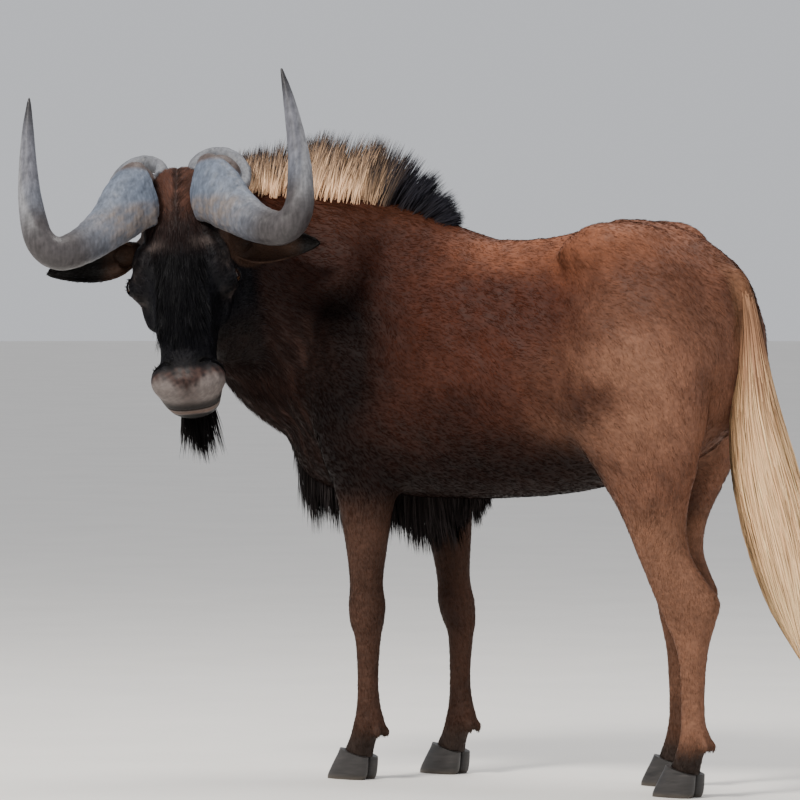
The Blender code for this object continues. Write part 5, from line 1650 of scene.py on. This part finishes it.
def eye_piece(side_name, look):
    """A wet dark ball with a bulging cornea, a brown iris and a level oval pupil."""
    side = HEAD_SIDES[side_name]
    place = Vector((EYE_PLACE[0], side * EYE_PLACE[1], EYE_PLACE[2]))
    made = ball(f"eye_{side_name}_fine", place, (EYE_RADIUS,) * 3, HEAD, 64, 40)
    gaze = head_way(EYE_LOOK[0], side * EYE_LOOK[1], EYE_LOOK[2]).normalized()
    level = head_way(0.9, 0, -0.25)
    level = np.array((level - gaze * level.dot(gaze)).normalized())
    gaze = np.array(gaze)
    centre = np.array(HEAD @ place)
    rays = unit(points_of(made.data) - centre)
    facing, along, upright = rays @ gaze, rays @ level, rays @ np.cross(gaze, level)
    bulge = 1 + CORNEA_BULGE * ramp(facing, 0.80, 0.95)
    move_points(made.data, centre + rays * (EYE_RADIUS * bulge)[:, None])
    pupil = ramp(1 - (along / 0.34) ** 2 - (upright / 0.17) ** 2, 0, 0.25) * (facing > 0)
    colour = layered(plain(EYE_BROWN, rays), [(IRIS, ramp(facing, 0.78, 0.86)), (PUPIL, pupil)])
    paint(made.data, colour, np.full(len(rays), 0.12))
    made.data.shade_smooth()
    finish_piece(made, look, "eye", f"eye_{side_name}")


def below_coronet(kind, side, lift):
    """A box under the coronet's sloping plane."""
    normal = Vector((CORONET_SLOPE, 0, 1)).normalized()
    middle = CORONET_X[kind] + stride(kind, side, 0)
    plane = Vector((middle, side * LEGS[kind][-1][3], CORONET))
    plane += normal * (lift - UNDER_HALF_SIZES[2])
    return box("under", frame_of(plane, normal, (1, 0, 0)), UNDER_HALF_SIZES)


def claw_piece(kind, side_name, which, look):
    """One claw of a foot, cut off at the coronet, with growth rings and a worn edge."""
    side = SIDES[side_name]
    outwards = side if which == "outer" else -side
    lateral = side * LEGS[kind][-1][3] + outwards * CLAW_OFFSET
    middle = CORONET_X[kind] + stride(kind, side, 0)
    rings = []
    for height, toe, heel, half_width in smooth_rows(CLAW, 7):
        centre = Vector((middle, lateral, height))
        rings.append(
            oval(centre, Vector((0, 1, 0)), Vector((-1, 0, 0)), half_width, toe, heel, 1.15, 0.8, 40)
        )
    made = loft_object(f"hoof_{kind}_{side_name}_{which}_fine", rings)
    cut(made, "INTERSECT", below_coronet(kind, side, CORONET_GAP))
    points = points_of(made.data)
    height = points[:, 2]
    grown = waves(points * (1, 1, 4), 0.05, 51)
    grown += 0.6 * np.sin(height * 900 + 2 * waves(points, 0.04, 52))
    colour = plain(HOOF_DARK, points) * (1 + 0.25 * grown)[:, None]
    colour = mixed(colour, HOOF_WORN, ramp(height, 0.012, 0.001) * 0.6)
    paint(made.data, np.clip(colour, 0.01, 1), np.clip(0.45 + 0.08 * grown, 0.3, 0.7))
    made.data.shade_smooth()
    made.data.set_sharp_from_angle(angle=math.radians(50))
    finish_piece(made, look, "hoof_horn", f"hoof_{kind}_{side_name}_{which}")


# Stage, light and camera
def aimed(name, data, place, aim):
    """A light or camera at a place, turned to look at another."""
    obj = linked(name, data)
    obj.location = place
    obj.rotation_mode = "QUATERNION"
    obj.rotation_quaternion = (Vector(aim) - Vector(place)).to_track_quat("-Z", "Y")
    return obj


def make_floor():
    bm = bmesh.new()
    bmesh.ops.create_circle(bm, cap_ends=True, segments=96, radius=40)
    floor = mesh_object("floor", bm)
    floor.data.materials.append(material("floor", floor_look))


def set_world():
    world = bpy.data.worlds.new("studio")
    world.use_nodes = True
    background = world.node_tree.nodes["Background"]
    background.inputs["Color"].default_value = WORLD_COLOUR
    background.inputs["Strength"].default_value = WORLD_POWER
    bpy.context.scene.world = world


def set_lights(right, back):
    aim = SHIFT + Vector((0, 0, LIGHT_AIM))
    for name, (sideways, nearer, height, size, power, colour) in LIGHTS.items():
        light = bpy.data.lights.new(name, "AREA")
        light.size, light.energy, light.color = size, power, colour
        place = aim + right * sideways + back * nearer + Vector((0, 0, height))
        aimed(name, light, place, aim)


def set_camera(right, back):
    camera = bpy.data.cameras.new("camera")
    camera.sensor_width = SENSOR
    camera.lens = SENSOR * VIEW_DISTANCE / FRAME_WIDTH
    camera.clip_end = 200
    target = SHIFT + right * AIM_RIGHT + Vector((0, 0, AIM_HEIGHT))
    place = target + back * VIEW_DISTANCE + Vector((0, 0, VIEW_RISE))
    bpy.context.scene.camera = aimed("camera", camera, place, target)


def set_stage():
    right = Vector((math.cos(VIEW), math.sin(VIEW), 0))
    back = Vector((math.sin(VIEW), -math.cos(VIEW), 0))
    make_floor()
    set_world()
    set_lights(right, back)
    set_camera(right, back)


def main():
    looks = (skin_look, fur_look, hair_look, horn_look, hoof_look, eye_look)
    skin_mat, fur, hair, horn, hoof, eye = [
        material(look.__name__.removesuffix("_look"), look) for look in looks
    ]
    skin = make_skin()
    colour, rough = markings(points_of(skin.data))
    paint(skin.data, colour * 0.92, rough)
    skin.data.shade_smooth()
    faces = [polygon.vertices for polygon in skin.data.polygons]
    tree = BVHTree.FromPolygons([vertex.co for vertex in skin.data.vertices], faces)
    short_coat(skin, fur)
    mane_hair(tree, hair)
    fringe_hair(hair)
    for name in HEAD_HAIR:
        head_hair(name, tree, hair)
    tail_hair(hair)
    finish_piece(skin, skin_mat, "brown_body_coat", *FLESH_NODES)
    for side_name in SIDES:
        horn_piece(side_name, horn)
        eye_piece(side_name, eye)
        for kind in LEGS:
            for which in ("outer", "inner"):
                claw_piece(kind, side_name, which, hoof)
    set_stage()


main()
